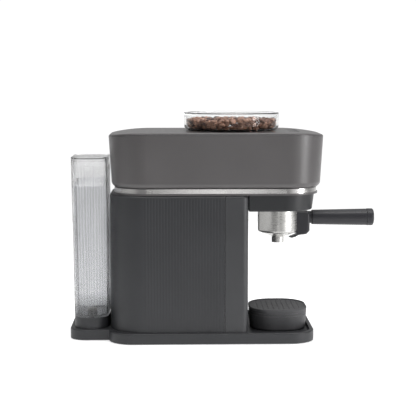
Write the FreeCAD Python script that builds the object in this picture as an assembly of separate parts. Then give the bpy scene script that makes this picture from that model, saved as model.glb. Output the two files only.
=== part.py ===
import FreeCAD, Part
import math
import os

# Bean-to-cup espresso machine with a locked-in portafilter.
# Frame: +X runs to the handle (front), +Y to the far side, +Z up, millimetres.
# The origin is the centre of the overall footprint, on the surface the feet stand on.

# ---- driving dimensions -------------------------------------------------------------
HALF_LENGTH = 236.2
HALF_WIDTH = 90.0
WALL = 2.5
FOOT_GAP = 1.0

BASE_TOP = 17.0
BASE_REAR = -176.0
BASE_FRONT = 137.8
BASE_CORNER = 38.0
BASE_SKIN = 3.0
BASIN_FLOOR = 11.0
BASIN_RIM = 6.0
DOCK_HALF_WIDTH = 57.0
DOCK_CORNER = 24.0

BODY_TOP = 225.0
BODY_REAR = -174.2
BODY_FRONT = 35.6
BODY_HALF_WIDTH = 84.0
BODY_REAR_CORNER = 54.0
BODY_FRONT_CORNER = 9.0
BODY_TOP_ROUND = 5.0
BODY_SEAM = 0.5
SEAM_GAP = 0.8
RIB_PITCH = 4.4
RIB_DEPTH = 0.2

HEAD_BOTTOM = 234.5
HEAD_TOP = 318.6
HEAD_REAR = -175.4
HEAD_FRONT = 152.4
HEAD_CORNER = 58.0
HEAD_TAPER = 5.0
HEAD_END_DROP = 5.0
HEAD_END_RUN = 62.0
HEAD_TOP_ROUND = 3.0
HEAD_BOTTOM_ROUND = 9.0
COVER_DEPTH = 3.2

BAND_TOP = HEAD_BOTTOM
BAND_BOTTOM = 227.6
BAND_REAR = -166.6
BAND_FRONT = 142.3
BAND_HALF_WIDTH = 81.5
BAND_CORNER = 50.0

COWL_BOTTOM = 199.8
COWL_FRONT = 138.9
COWL_HALF_WIDTH = 78.0
COWL_CORNER = 47.0
COWL_DRAFT = 3.2

HOPPER_X = 13.3
HOPPER_RADIUS = 73.6
HOPPER_WALL = 2.4
HOPPER_BOTTOM = 318.9
HOPPER_TOP = 340.8
HOPPER_ROUND = 9.0
THROAT_RADIUS = 20.0
LID_TOP = 346.4

CUP_X = 86.5
CUP_RADIUS = 31.45
CUP_TOP = 214.0
CUP_CONE_TOP = 161.3
CUP_CONE_BOTTOM = 152.7
SPOUT_RADIUS = 9.65
SPOUT_BOTTOM = 143.7
BASKET_RADIUS = 26.1
BASKET_FLOOR = 192.0
HANDLE_Z = 182.5
HANDLE_START = 139.0
HANDLE_CAP_START = 225.2
GRIP_START_RADIUS = 11.5
GRIP_END_RADIUS = 13.0
CAP_RADIUS = 13.4
BOLT_RADIUS = 3.0
HANDLE_END = HALF_LENGTH

TANK_REAR_TOP = -232.9
TANK_REAR_BOTTOM = -229.9
TANK_FRONT = -176.2
TANK_HALF_WIDTH = 54.0
TANK_CORNER = 24.0
TANK_BOTTOM = 34.4
TANK_TOP = 277.3
TANK_LID_TOP = 279.5
TANK_WALL = 2.2
VALVE_X = -205.0

TRAY_X = 86.2
TRAY_FLOOR = 10.3
TRAY_SPLIT = 37.8
TRAY_TOP = 44.2
TRAY_HALF_LENGTH = 45.2
TRAY_HALF_WIDTH = 50.0
TRAY_DRAFT = 2.4
TRAY_CORNER = 38.0
TRAY_GROOVE = 33.4
TRAY_HOLE_PITCH = 8.0
TRAY_HOLE_RADIUS = 1.4

GEAR_MODULE = 1.0
GEAR_TEETH = 60
PINION_TEETH = 12
GEAR_CENTRES = GEAR_MODULE * (GEAR_TEETH + PINION_TEETH) / 2
PINION_X = HOPPER_X - GEAR_CENTRES
GEAR_BOTTOM = 246.0
GEAR_THICKNESS = 6.0

PISTON_RADIUS = 24.8
PISTON_BOTTOM = 240.0
CYLINDER_RADIUS = 25.8
SPINDLE_RADIUS = 4.0
HOSE_Y = 18.0
SHAFT_RADIUS = 4.0
RUNNING_GAP = 0.05
BUTTON_X = 108.0
BUTTON_RADIUS = 8.0
BUTTON_SPACING = 30.0
BUTTON_STEM_END = 312.2
GLAND_Y = 56.0
GLAND_Z = 40.0

SCREW_PLACES = [(-195, 47), (-140, 66), (-20, 78), (100, 66)]
FOOT_PLACES = [(-212, 34), (-120, 66), (98, 52)]

UP = FreeCAD.Vector(0, 0, 1)


# ---- shape helpers ------------------------------------------------------------------
def point(x, y, z):
    return FreeCAD.Vector(x, y, z)


def outline(x_rear, x_front, half_width, rear_corner, front_corner, z):
    """Closed plan wire with one corner radius at the rear and one at the front."""
    corners = [
        (x_front, half_width, front_corner, 0),
        (x_rear, half_width, rear_corner, 90),
        (x_rear, -half_width, rear_corner, 180),
        (x_front, -half_width, front_corner, 270),
    ]
    arcs = []
    for x, y, radius, start in corners:
        centre_x = x - radius if x == x_front else x + radius
        centre_y = y - radius if y > 0 else y + radius
        circle = Part.Circle(point(centre_x, centre_y, z), UP, radius)
        arcs.append(Part.Arc(circle, math.radians(start), math.radians(start + 90)).toShape())
    edges = []
    for index, arc in enumerate(arcs):
        following = arcs[(index + 1) % 4]
        edges.append(arc)
        leave = arc.Vertexes[1].Point
        meet = following.Vertexes[0].Point
        if (leave - meet).Length > 1e-6:
            edges.append(Part.LineSegment(leave, meet).toShape())
    return Part.Wire(edges)


def plan_prism(x_rear, x_front, half_width, rear_corner, front_corner, z_low, z_high):
    wire = outline(x_rear, x_front, half_width, rear_corner, front_corner, z_low)
    return Part.Face(wire).extrude(point(0, 0, z_high - z_low))


def plan_loft(low, high, z_low, z_high):
    """Drafted solid between two outlines, each (rear, front, half width, rear R, front R)."""
    wires = [outline(*low, z_low), outline(*high, z_high)]
    return Part.makeLoft(wires, True, True)


def box(x_low, x_high, y_low, y_high, z_low, z_high):
    return Part.makeBox(x_high - x_low, y_high - y_low, z_high - z_low, point(x_low, y_low, z_low))


def cylinder(x, y, z_low, z_high, radius):
    return Part.makeCylinder(radius, z_high - z_low, point(x, y, z_low), UP)


def ring(x, y, z_low, z_high, outer, inner):
    return cylinder(x, y, z_low, z_high, outer).cut(cylinder(x, y, z_low - 1, z_high + 1, inner))


def turned(x, profile):
    """Solid of revolution about the vertical axis through (x, 0); profile is (radius, z) points."""
    corners = [point(x + radius, 0, z) for radius, z in profile]
    face = Part.Face(Part.makePolygon(corners + [corners[0]]))
    return face.revolve(point(x, 0, 0), UP, 360)


def side_profile(corners, half_width):
    """Solid from an (x, z) outline, as wide as half_width each side of the centre plane."""
    points = [point(x, -half_width, z) for x, z in corners]
    face = Part.Face(Part.makePolygon(points + [points[0]]))
    return face.extrude(point(0, 2 * half_width, 0))


def rounded(shape, radius, wanted):
    """Fillet every edge whose centre of mass satisfies wanted(point)."""
    edges = [edge for edge in shape.Edges if wanted(edge.CenterOfMass)]
    return shape.makeFillet(radius, edges)


def both_sides(places):
    """The given (x, y) places and their mirror images across the centre plane."""
    return [(x, side * y) for x, y in places for side in (1, -1)]


def at_height(z, tolerance=0.01):
    return lambda centre: abs(centre.z - z) < tolerance


def ribbed_edge(start, end, pitch, depth):
    """Shallow vertical ribs seen in plan: a run of arcs from start to end, bulging to the right."""
    run = end - start
    count = max(1, int(round(run.Length / pitch)))
    outward = run.cross(UP).normalize()
    edges = []
    for index in range(count):
        first = start + run * (index / count)
        last = start + run * ((index + 1) / count)
        middle = (first + last) * 0.5 + outward * depth
        edges.append(Part.Arc(first, middle, last).toShape())
    return edges


def tube_along(points, bend, radius):
    """Round tube whose centre line is straight runs joined by arcs of radius bend."""
    vectors = [point(*p) for p in points]
    edges = []
    current = vectors[0]
    for before, corner, after in zip(vectors, vectors[1:], vectors[2:]):
        to_before = (before - corner).normalize()
        to_after = (after - corner).normalize()
        half_angle = to_before.getAngle(to_after) / 2
        setback = bend / math.tan(half_angle)
        enter = corner + to_before * setback
        leave = corner + to_after * setback
        bisector = (to_before + to_after).normalize()
        middle = corner + bisector * (bend / math.sin(half_angle) - bend)
        edges.append(Part.LineSegment(current, enter).toShape())
        edges.append(Part.Arc(enter, middle, leave).toShape())
        current = leave
    edges.append(Part.LineSegment(current, vectors[-1]).toShape())
    path = Part.Wire(edges)
    direction = vectors[1] - vectors[0]
    section = Part.Wire([Part.Circle(vectors[0], direction, radius).toShape()])
    return path.makePipeShell([section], True, False)


def gear(x, teeth, z_low, z_high, bore, phase):
    """Straight-toothed spur gear with tapered teeth, slightly thin for backlash."""
    pitch_radius = GEAR_MODULE * teeth / 2
    root = pitch_radius - 1.25 * GEAR_MODULE
    tip = pitch_radius + 0.9 * GEAR_MODULE
    half_tooth = math.pi / (2 * teeth)
    levels = [(root, 1.45), (pitch_radius, 0.90), (tip, 0.42)]
    corners = []
    for tooth in range(teeth):
        centre = phase + 2 * math.pi * tooth / teeth
        for radius, share in levels:
            angle = centre - half_tooth * share
            corners.append(point(x + radius * math.cos(angle), radius * math.sin(angle), z_low))
        for radius, share in reversed(levels):
            angle = centre + half_tooth * share
            corners.append(point(x + radius * math.cos(angle), radius * math.sin(angle), z_low))
    wheel = Part.Face(Part.makePolygon(corners + [corners[0]])).extrude(point(0, 0, z_high - z_low))
    return wheel.cut(cylinder(x, 0, z_low - 1, z_high + 1, bore))


def crown(offset):
    """Everything under the head's top line, lowered by offset: flat, then falling at both ends."""
    top = HEAD_TOP - offset
    rear_flat = HEAD_REAR + HEAD_END_RUN
    front_flat = HEAD_FRONT - HEAD_END_RUN
    bend = (HEAD_END_RUN ** 2 + HEAD_END_DROP ** 2) / (2 * HEAD_END_DROP)
    middle_drop = bend - math.sqrt(bend ** 2 - (HEAD_END_RUN / 2) ** 2)
    y = -HALF_WIDTH - 10
    floor = HEAD_BOTTOM - 5
    rear_end = point(HEAD_REAR, y, top - HEAD_END_DROP)
    front_end = point(HEAD_FRONT, y, top - HEAD_END_DROP)
    rear_middle = point(HEAD_REAR + HEAD_END_RUN / 2, y, top - middle_drop)
    front_middle = point(HEAD_FRONT - HEAD_END_RUN / 2, y, top - middle_drop)
    edges = [
        Part.LineSegment(point(HEAD_REAR, y, floor), rear_end).toShape(),
        Part.Arc(rear_end, rear_middle, point(rear_flat, y, top)).toShape(),
        Part.LineSegment(point(rear_flat, y, top), point(front_flat, y, top)).toShape(),
        Part.Arc(point(front_flat, y, top), front_middle, front_end).toShape(),
        Part.LineSegment(front_end, point(HEAD_FRONT, y, floor)).toShape(),
        Part.LineSegment(point(HEAD_FRONT, y, floor), point(HEAD_REAR, y, floor)).toShape(),
    ]
    return Part.Face(Part.Wire(edges)).extrude(point(0, 2 * (HALF_WIDTH + 10), 0))


def head_form(inset, z_low, z_high):
    """Drafted block of the head, pulled in by inset all round."""
    low = (
        HEAD_REAR + HEAD_TAPER + inset,
        HEAD_FRONT - HEAD_TAPER - inset,
        HALF_WIDTH - HEAD_TAPER - inset,
        HEAD_CORNER - HEAD_TAPER - inset,
        HEAD_CORNER - HEAD_TAPER - inset,
    )
    high = (
        HEAD_REAR + inset,
        HEAD_FRONT - inset,
        HALF_WIDTH - inset,
        HEAD_CORNER - inset,
        HEAD_CORNER - inset,
    )
    return plan_loft(low, high, z_low, z_high)


# ---- base ---------------------------------------------------------------------------
def base_form(inset, z_low, z_high):
    deck = plan_prism(
        BASE_REAR + inset, BASE_FRONT - inset, HALF_WIDTH - inset,
        BASE_CORNER - inset, BASE_CORNER - inset, z_low, z_high,
    )
    dock = plan_prism(
        -HALF_LENGTH + inset, BASE_REAR + 60, DOCK_HALF_WIDTH - inset,
        DOCK_CORNER - inset, 2, z_low, z_high,
    )
    return deck.fuse(dock).removeSplitter()


def tray_form(inset, z_low, z_high):
    """Block of the drip tray between two heights, following its drafted sides."""
    def half_sizes(z):
        shrink = TRAY_DRAFT * (TRAY_TOP - z) / (TRAY_TOP - TRAY_FLOOR) + inset
        return TRAY_HALF_LENGTH - shrink, TRAY_HALF_WIDTH - shrink, TRAY_CORNER - shrink

    rows = []
    for z in (z_low, z_high):
        length, width, corner = half_sizes(z)
        rows.append((TRAY_X - length, TRAY_X + length, width, corner, corner))
    return plan_loft(rows[0], rows[1], z_low, z_high)


def basin_form(inset, z_low, z_high):
    """Shallow basin in the deck in front of the body, where the drip tray stands."""
    corner = BASE_CORNER - BASIN_RIM - inset
    return plan_prism(
        BODY_FRONT + 4 + inset, BASE_FRONT - BASIN_RIM - inset, HALF_WIDTH - BASIN_RIM - inset,
        10 - inset, corner, z_low, z_high,
    )


def base_plate():
    block = rounded(base_form(0, FOOT_GAP, BASE_TOP), 2.0, at_height(BASE_TOP))
    hollow = base_form(WALL, FOOT_GAP - 1, BASE_TOP - BASE_SKIN)
    basin = basin_form(0, BASIN_FLOOR, BASE_TOP + 1)
    basin_floor = basin_form(-WALL, BASIN_FLOOR - BASE_SKIN, BASE_TOP - BASE_SKIN + 0.5)
    pad = tray_form(-4, TRAY_FLOOR - BASE_SKIN - 0.3, BASIN_FLOOR - BASE_SKIN + 0.5)
    recess = tray_form(-0.8, TRAY_FLOOR - 0.3, BASE_TOP + 2)
    socket_hole = cylinder(VALVE_X, 0, 0, BASE_TOP + 1, 16.2)
    tube_hole = cylinder(-140, 0, 0, BASE_TOP + 1, 5)
    shell = block.cut(hollow).fuse([basin_floor, pad])
    return shell.cut([basin, recess, socket_hole, tube_hole])


def base_bottom_cover():
    plate = base_form(WALL + 0.3, FOOT_GAP + 0.5, FOOT_GAP + 2.5)
    holes = [cylinder(x, y, 0, 10, 2.3) for x, y in both_sides(SCREW_PLACES)]
    return plate.cut(holes)


def rubber_feet():
    feet = []
    for x, y in both_sides(FOOT_PLACES):
        foot = cylinder(x, y, 0, FOOT_GAP + 0.5, 9)
        feet.append(rounded(foot, 0.6, at_height(0)))
    return Part.makeCompound(feet)


def base_screws():
    screws = []
    for x, y in both_sides(SCREW_PLACES):
        head = Part.makeCone(3.6, 2.0, 1.4, point(x, y, FOOT_GAP - 0.9), UP)
        shank = cylinder(x, y, FOOT_GAP + 0.5, FOOT_GAP + 6, 2.0)
        screws.append(head.fuse(shank))
    return Part.makeCompound(screws)


def tank_socket():
    cup = ring(VALVE_X, 0, BASE_TOP - BASE_SKIN - 6, BASE_TOP - 0.3, 16, 12.8)
    floor = cylinder(VALVE_X, 0, BASE_TOP - BASE_SKIN - 6, BASE_TOP - BASE_SKIN - 3, 13)
    pin = cylinder(VALVE_X, 0, BASE_TOP - BASE_SKIN - 4, 19.2, 2.2)
    flange = ring(VALVE_X, 0, BASE_TOP - BASE_SKIN - 2, BASE_TOP - BASE_SKIN, 19, 14)
    return cup.fuse([floor, pin, flange])


def cord_gland():
    """Rubber sleeve where the mains lead leaves the rear corner of the body."""
    rearward = point(-1, 0, 0)
    collar = Part.makeCylinder(8, 12, point(BODY_REAR + 12.7, GLAND_Y, GLAND_Z), rearward)
    sleeve = Part.makeCylinder(5.5, 18, point(BODY_REAR + 14, GLAND_Y, GLAND_Z), rearward)
    bore = Part.makeCylinder(3.4, 40, point(BODY_REAR + 20, GLAND_Y, GLAND_Z), rearward)
    return collar.fuse(sleeve).cut(bore)


# ---- body ---------------------------------------------------------------------------
def rear_body_shell():
    """Rear shell: three ribbed sides, open at the front where the front cover meets it."""
    front = BODY_SEAM - SEAM_GAP / 2
    corner_x = BODY_REAR + BODY_REAR_CORNER
    side = BODY_HALF_WIDTH - RIB_DEPTH
    rear = BODY_REAR + RIB_DEPTH
    centre_y = BODY_HALF_WIDTH - BODY_REAR_CORNER
    plain = 22.0
    z = BASE_TOP
    near_start = point(front, -side, z)
    arc_radius = BODY_REAR_CORNER - RIB_DEPTH
    near_corner = Part.Circle(point(corner_x, -centre_y, z), UP, arc_radius)
    far_corner = Part.Circle(point(corner_x, centre_y, z), UP, arc_radius)
    edges = [Part.LineSegment(point(front, side, z), point(front - 4, side, z)).toShape()]
    edges += ribbed_edge(point(corner_x, side, z), point(front - 4, side, z), RIB_PITCH, -RIB_DEPTH)[::-1]
    edges.append(Part.Arc(far_corner, math.pi / 2, math.pi).toShape())
    edges.append(Part.LineSegment(point(rear, centre_y, z), point(rear, plain, z)).toShape())
    edges += ribbed_edge(point(rear, plain, z), point(rear, -plain, z), RIB_PITCH, -RIB_DEPTH)
    edges.append(Part.LineSegment(point(rear, -plain, z), point(rear, -centre_y, z)).toShape())
    edges.append(Part.Arc(near_corner, math.pi, 3 * math.pi / 2).toShape())
    edges += ribbed_edge(point(corner_x, -side, z), point(front - 4, -side, z), RIB_PITCH, RIB_DEPTH)
    edges.append(Part.LineSegment(point(front - 4, -side, z), near_start).toShape())
    edges.append(Part.LineSegment(near_start, point(front, side, z)).toShape())
    wire = Part.Wire(Part.__sortEdges__(edges))
    block = Part.Face(wire).extrude(point(0, 0, BODY_TOP - BASE_TOP))
    hollow = plan_prism(
        BODY_REAR + WALL + RIB_DEPTH, front + 60, BODY_HALF_WIDTH - WALL - RIB_DEPTH,
        BODY_REAR_CORNER - WALL - RIB_DEPTH, 1, BASE_TOP - 1, BODY_TOP - WALL,
    )
    cap_opening = plan_prism(-150, 60, 70, 30, 1, BODY_TOP - WALL - 1, BODY_TOP + 1)
    gland_hole = Part.makeCylinder(8.3, 40, point(BODY_REAR + 30, GLAND_Y, GLAND_Z), point(-1, 0, 0))
    softened = plan_prism(
        BODY_REAR - 0.2, front + 60, BODY_HALF_WIDTH + 0.2, BODY_REAR_CORNER, 1, BASE_TOP - 5, BODY_TOP,
    )
    softened = rounded(softened, BODY_TOP_ROUND, at_height(BODY_TOP))
    return block.common(softened).cut([hollow, cap_opening, gland_hole])


def front_body_cover():
    """Plain front cover with small vertical corners; it clips over the rear shell's open edge."""
    rear = BODY_SEAM + SEAM_GAP / 2
    block = plan_prism(rear - 40, BODY_FRONT, BODY_HALF_WIDTH, 4, BODY_FRONT_CORNER, BASE_TOP, BODY_TOP)
    block = rounded(block, BODY_TOP_ROUND, at_height(BODY_TOP))
    hollow = plan_prism(
        rear - 60, BODY_FRONT - WALL, BODY_HALF_WIDTH - WALL, 1,
        BODY_FRONT_CORNER - WALL, BASE_TOP - 1, BODY_TOP - WALL,
    )
    behind = box(rear - 80, rear, -100, 100, 0, 300)
    cap_opening = box(-60, BODY_FRONT - 8, -70, 70, BODY_TOP - WALL - 1, BODY_TOP + 1)
    arm_notch = box(BODY_FRONT - 8, BODY_FRONT + 1, -61, 61, 219.7, BODY_TOP + 1)
    return block.cut([hollow, behind, cap_opening, arm_notch])


def chassis_frame():
    """Folded sheet-steel frame: floor, rear and front walls, and the top arm that holds the group."""
    floor = box(-148, 30, -60, 60, BASE_TOP + 0.1, BASE_TOP + 2.1)
    rear_wall = box(-150, -148, -60, 60, BASE_TOP + 0.1, 222)
    front_wall = box(28, 30, -60, 60, BASE_TOP + 2.1, 220)
    arm = plan_prism(-150, 128, 60, 4, 50, 220, 222)
    frame = floor.fuse([rear_wall, front_wall, arm])
    openings = [
        cylinder(CUP_X, 0, 200, 240, CYLINDER_RADIUS + 3.7),
        cylinder(PINION_X, 0, 200, 240, 23.5),
        box(-58, -40, 24, 50, 210, 230),
        box(-120, -70, -40, 40, 210, 230),
        cylinder(-140, 0, 10, 30, 5),
        box(-149.9, -147, -40, 40, 60, 190),
    ]
    return frame.cut(openings)


def trim_band():
    """Brushed steel strip that wraps the neck between body and head."""
    outer = plan_prism(
        BAND_REAR, BAND_FRONT, BAND_HALF_WIDTH, BAND_CORNER, BAND_CORNER, BAND_BOTTOM, BAND_TOP,
    )
    inner = plan_prism(
        BAND_REAR + 1.2, BAND_FRONT - 1.2, BAND_HALF_WIDTH - 1.2,
        BAND_CORNER - 1.2, BAND_CORNER - 1.2, BAND_BOTTOM - 1, BAND_TOP + 1,
    )
    return outer.cut(inner)


def head_bottom_plate():
    """Thin plate under the neck; the rear of it lies on the body and the front over the group."""
    plate = plan_prism(
        BAND_REAR - 1.5, BAND_FRONT + 1.5, BAND_HALF_WIDTH + 1.5,
        BAND_CORNER + 1.5, BAND_CORNER + 1.5, BODY_TOP, BAND_BOTTOM,
    )
    lip = plan_prism(
        BAND_REAR + 1.4, BAND_FRONT - 1.4, BAND_HALF_WIDTH - 1.4,
        BAND_CORNER - 1.4, BAND_CORNER - 1.4, BODY_TOP, BAND_TOP - 0.3,
    )
    inside = plan_prism(
        BAND_REAR + 3.4, BAND_FRONT - 3.4, BAND_HALF_WIDTH - 3.4,
        BAND_CORNER - 3.4, BAND_CORNER - 3.4, BAND_BOTTOM, BAND_TOP + 1,
    )
    openings = [
        cylinder(CUP_X, 0, 200, 240, CYLINDER_RADIUS + 3.7),
        cylinder(PINION_X, 0, 200, 240, 23.5),
        box(-58, -40, 24, 50, 210, 240),
    ]
    return plate.fuse(lip.cut(inside)).cut(openings)


def group_cowl():
    """Dark cowl round the brew group, open at the rear against the body and at the cup."""
    rear = BODY_FRONT + 0.3
    low = (rear, COWL_FRONT - COWL_DRAFT, COWL_HALF_WIDTH - 2, 2, COWL_CORNER - 2)
    high = (rear, COWL_FRONT, COWL_HALF_WIDTH, 2, COWL_CORNER)
    block = rounded(plan_loft(low, high, COWL_BOTTOM, BODY_TOP - 0.2), 2.5, at_height(COWL_BOTTOM))
    hollow = plan_prism(
        rear - 5, COWL_FRONT - COWL_DRAFT - WALL, COWL_HALF_WIDTH - 2 - WALL, 2,
        COWL_CORNER - 2 - WALL, COWL_BOTTOM + WALL, BODY_TOP + 1,
    )
    cup_hole = cylinder(CUP_X, 0, COWL_BOTTOM - 1, COWL_BOTTOM + 5, CUP_RADIUS + 1.6)
    return block.cut([hollow, cup_hole])


# ---- head ---------------------------------------------------------------------------
def head_outer():
    block = head_form(0, HEAD_BOTTOM, HEAD_TOP).common(crown(0))
    top = [edge for edge in block.Edges if edge.CenterOfMass.z > HEAD_TOP - HEAD_END_DROP - 1]
    block = block.makeFillet(HEAD_TOP_ROUND, top)
    return rounded(block, HEAD_BOTTOM_ROUND, at_height(HEAD_BOTTOM))


def head_shell():
    block = head_outer().common(crown(COVER_DEPTH + 0.25))
    floor = HEAD_BOTTOM + WALL
    hollow = rounded(head_form(WALL, floor, HEAD_TOP + 1), HEAD_BOTTOM_ROUND - WALL, at_height(floor))
    neck = plan_prism(
        BAND_REAR + 3.6, BAND_FRONT - 3.6, BAND_HALF_WIDTH - 3.6,
        BAND_CORNER - 3.6, BAND_CORNER - 3.6, HEAD_BOTTOM - 1, HEAD_BOTTOM + 5,
    )
    return block.cut([hollow, neck])


def head_top_cover():
    lid = head_outer().cut(crown(COVER_DEPTH))
    lip = head_form(WALL + 0.3, HEAD_BOTTOM, HEAD_TOP + 1).common(crown(COVER_DEPTH - 0.2))
    lip = lip.cut(crown(COVER_DEPTH + 2))
    lip = lip.cut(head_form(WALL + 2.3, HEAD_BOTTOM - 1, HEAD_TOP + 2))
    openings = [cylinder(HOPPER_X, 0, 290, 330, 26)]
    for index in (-1, 0, 1):
        openings.append(cylinder(BUTTON_X, index * BUTTON_SPACING, 290, 330, BUTTON_RADIUS + 0.4))
    return lid.fuse(lip).cut(openings)


def brew_button(index):
    y = index * BUTTON_SPACING
    top = HEAD_TOP + 0.1
    cap = rounded(cylinder(BUTTON_X, y, 313.5, top, BUTTON_RADIUS), 0.8, at_height(top))
    flange = cylinder(BUTTON_X, y, BUTTON_STEM_END + 0.6, BUTTON_STEM_END + 1.8, BUTTON_RADIUS + 1.2)
    stem = cylinder(BUTTON_X, y, BUTTON_STEM_END, BUTTON_STEM_END + 0.8, 2.5)
    return cap.fuse([flange, stem])


def button_board():
    """Small circuit board with one push switch under each button."""
    board = box(96, 120, -40, 40, 308.0, 309.2)
    for index in (-1, 0, 1):
        board = board.fuse(cylinder(BUTTON_X, index * BUTTON_SPACING, 309.0, 310.4, 3))
    return board


# ---- hopper and grinder -------------------------------------------------------------
def bean_hopper():
    """Clear bowl for the beans, with a throat that drops through the head into the grinder."""
    outer = cylinder(HOPPER_X, 0, HOPPER_BOTTOM, HOPPER_TOP, HOPPER_RADIUS)
    outer = rounded(outer, HOPPER_ROUND, at_height(HOPPER_BOTTOM))
    floor = HOPPER_BOTTOM + HOPPER_WALL
    inner = cylinder(HOPPER_X, 0, floor, HOPPER_TOP + 1, HOPPER_RADIUS - HOPPER_WALL)
    inner = rounded(inner, HOPPER_ROUND - HOPPER_WALL, at_height(floor))
    neck = cylinder(HOPPER_X, 0, 303, HOPPER_BOTTOM + 1, THROAT_RADIUS + 2.5)
    throat = cylinder(HOPPER_X, 0, 300, HOPPER_BOTTOM + 5, THROAT_RADIUS)
    return outer.cut(inner).fuse(neck).cut(throat)


def hopper_lid():
    """Clear lid: a flat disc with a rolled rim and a skirt that drops inside the hopper."""
    disc = rounded(
        cylinder(HOPPER_X, 0, HOPPER_TOP + 0.3, LID_TOP, HOPPER_RADIUS), 1.6, at_height(LID_TOP),
    )
    dish = cylinder(HOPPER_X, 0, LID_TOP - 1.6, LID_TOP + 1, HOPPER_RADIUS - 6)
    under = cylinder(HOPPER_X, 0, HOPPER_TOP - 1, LID_TOP - 4.0, HOPPER_RADIUS - HOPPER_WALL - 2.2)
    skirt = ring(
        HOPPER_X, 0, HOPPER_TOP - 3.5, LID_TOP - 4.5,
        HOPPER_RADIUS - HOPPER_WALL - 0.5, HOPPER_RADIUS - HOPPER_WALL - 2.2,
    )
    return disc.fuse(skirt).cut([dish, under])


def grinder_housing():
    cup = ring(HOPPER_X, 0, 256, 302, 34, 31)
    floor = ring(HOPPER_X, 0, 256, 259, 32, 11)
    ledge = ring(HOPPER_X, 0, 266, 269, 32, 25)
    exit_hole = box(HOPPER_X + 20, HOPPER_X + 40, -8, 8, 259, 266)
    return cup.fuse([floor, ledge]).cut([exit_hole])


def burr_adjust_ring():
    """Threaded carrier of the outer burr, turned to set the grind."""
    carrier = ring(HOPPER_X, 0, 288.2, 300, 30.9, THROAT_RADIUS + 3)
    collar = ring(HOPPER_X, 0, 288.2, 290.5, 30.9, 17)
    tab = box(HOPPER_X + 23.5, HOPPER_X + 29, -3, 3, 299.5, 306)
    return carrier.fuse([collar, tab])


def ring_burr():
    profile = [(27.5, 270.5), (27.5, 288.1), (18.0, 288.1), (18.0, 284.0), (22.6, 270.5)]
    return turned(HOPPER_X, profile)


def cone_burr():
    """Inner cone with a helical feed nose; the cutting flutes are straight slots."""
    bore = SHAFT_RADIUS + 0.02
    profile = [(bore, 270.0), (22.0, 270.0), (22.0, 271.5), (16.5, 286.0), (9.0, 294.0), (bore, 294.0)]
    cone = turned(HOPPER_X, profile)
    slots = []
    for index in range(12):
        slot = box(HOPPER_X + 10, HOPPER_X + 26, -0.8, 0.8, 273, 300)
        slot.rotate(point(HOPPER_X, 0, 280), point(0, 1, 0), -24)
        slot.rotate(point(HOPPER_X, 0, 0), UP, index * 30)
        slots.append(slot)
    return cone.cut(slots)


def burr_shaft():
    shaft = cylinder(HOPPER_X, 0, GEAR_BOTTOM - 4, 294.5, SHAFT_RADIUS)
    nut = cylinder(HOPPER_X, 0, 294.2, 298, 6.5)
    return shaft.fuse(nut)


def shaft_bearing():
    return ring(HOPPER_X, 0, 256.2, 262.5, 10.9, SHAFT_RADIUS + RUNNING_GAP)


def burr_gear():
    disc = gear(HOPPER_X, GEAR_TEETH, GEAR_BOTTOM, GEAR_BOTTOM + GEAR_THICKNESS, SHAFT_RADIUS + 0.02, 0)
    hub = ring(HOPPER_X, 0, GEAR_BOTTOM - 3, GEAR_BOTTOM + 8, 9, SHAFT_RADIUS + 0.02)
    return disc.fuse(hub)


def motor_pinion():
    top = GEAR_BOTTOM + GEAR_THICKNESS + 0.5
    pinion = gear(PINION_X, PINION_TEETH, GEAR_BOTTOM - 0.5, top, 1, math.pi / PINION_TEETH)
    shaft = cylinder(PINION_X, 0, 232, top, 3)
    return pinion.fuse(shaft)


def grinder_motor():
    can = rounded(cylinder(PINION_X, 0, 168, 238, 22), 3, at_height(168))
    boss = cylinder(PINION_X, 0, 238, 242, 8)
    shaft_hole = cylinder(PINION_X, 0, 231, 245, 3 + RUNNING_GAP)
    terminals = [box(PINION_X - 2, PINION_X + 2, y, y + 1, 161, 169) for y in (-11, 10)]
    return can.fuse([boss] + terminals).cut(shaft_hole)


def coffee_chute():
    """Sloping duct that drops ground coffee from the grinder into the brew cylinder."""
    outer = side_profile([(44, 268), (53, 268), (64, 242), (64, 228), (55, 228), (44, 256)], 11)
    inner = side_profile([(40, 266), (52, 266), (66, 239.5), (66, 230), (56.6, 230), (40, 259)], 8)
    housing_room = cylinder(HOPPER_X, 0, 240, 310, 34.1)
    cylinder_room = cylinder(CUP_X, 0, 200, 280, CYLINDER_RADIUS + 3.3)
    gear_room = cylinder(HOPPER_X, 0, 240, 255, 33)
    return outer.cut([inner, housing_room, cylinder_room, gear_room])


# ---- brew group ---------------------------------------------------------------------
def brew_cylinder():
    wall = ring(CUP_X, 0, 217, 262, CYLINDER_RADIUS + 3.2, CYLINDER_RADIUS)
    flange = ring(CUP_X, 0, 222.1, 224.6, 42, CYLINDER_RADIUS)
    chute_hole = box(CUP_X - 40, CUP_X - 10, -8, 8, 229.2, 238)
    return wall.fuse(flange).cut(chute_hole)


def bayonet_collar():
    """Steel collar with two inner ledges; the portafilter's lugs lie on them when it is locked."""
    collar = ring(CUP_X, 0, 204.5, 219.9, 44, 40)
    roof = ring(CUP_X, 0, 217.2, 219.9, 43, 34)
    ledges = ring(CUP_X, 0, 204.5, 208.5, 42, CUP_RADIUS + 1.4)
    gaps = []
    for middle in (45, 225):
        wedge = box(CUP_X, CUP_X + 41, -15, 15, 203, 208.6)
        wedge.rotate(point(CUP_X, 0, 0), UP, middle)
        gaps.append(wedge)
    gaps = [gap.common(cylinder(CUP_X, 0, 200, 230, 39.9)) for gap in gaps]
    return collar.fuse([roof, ledges.cut(gaps)])


def group_gasket():
    return ring(CUP_X, 0, 215.6, 220.0, 33.5, CYLINDER_RADIUS + 3.3)


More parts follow.
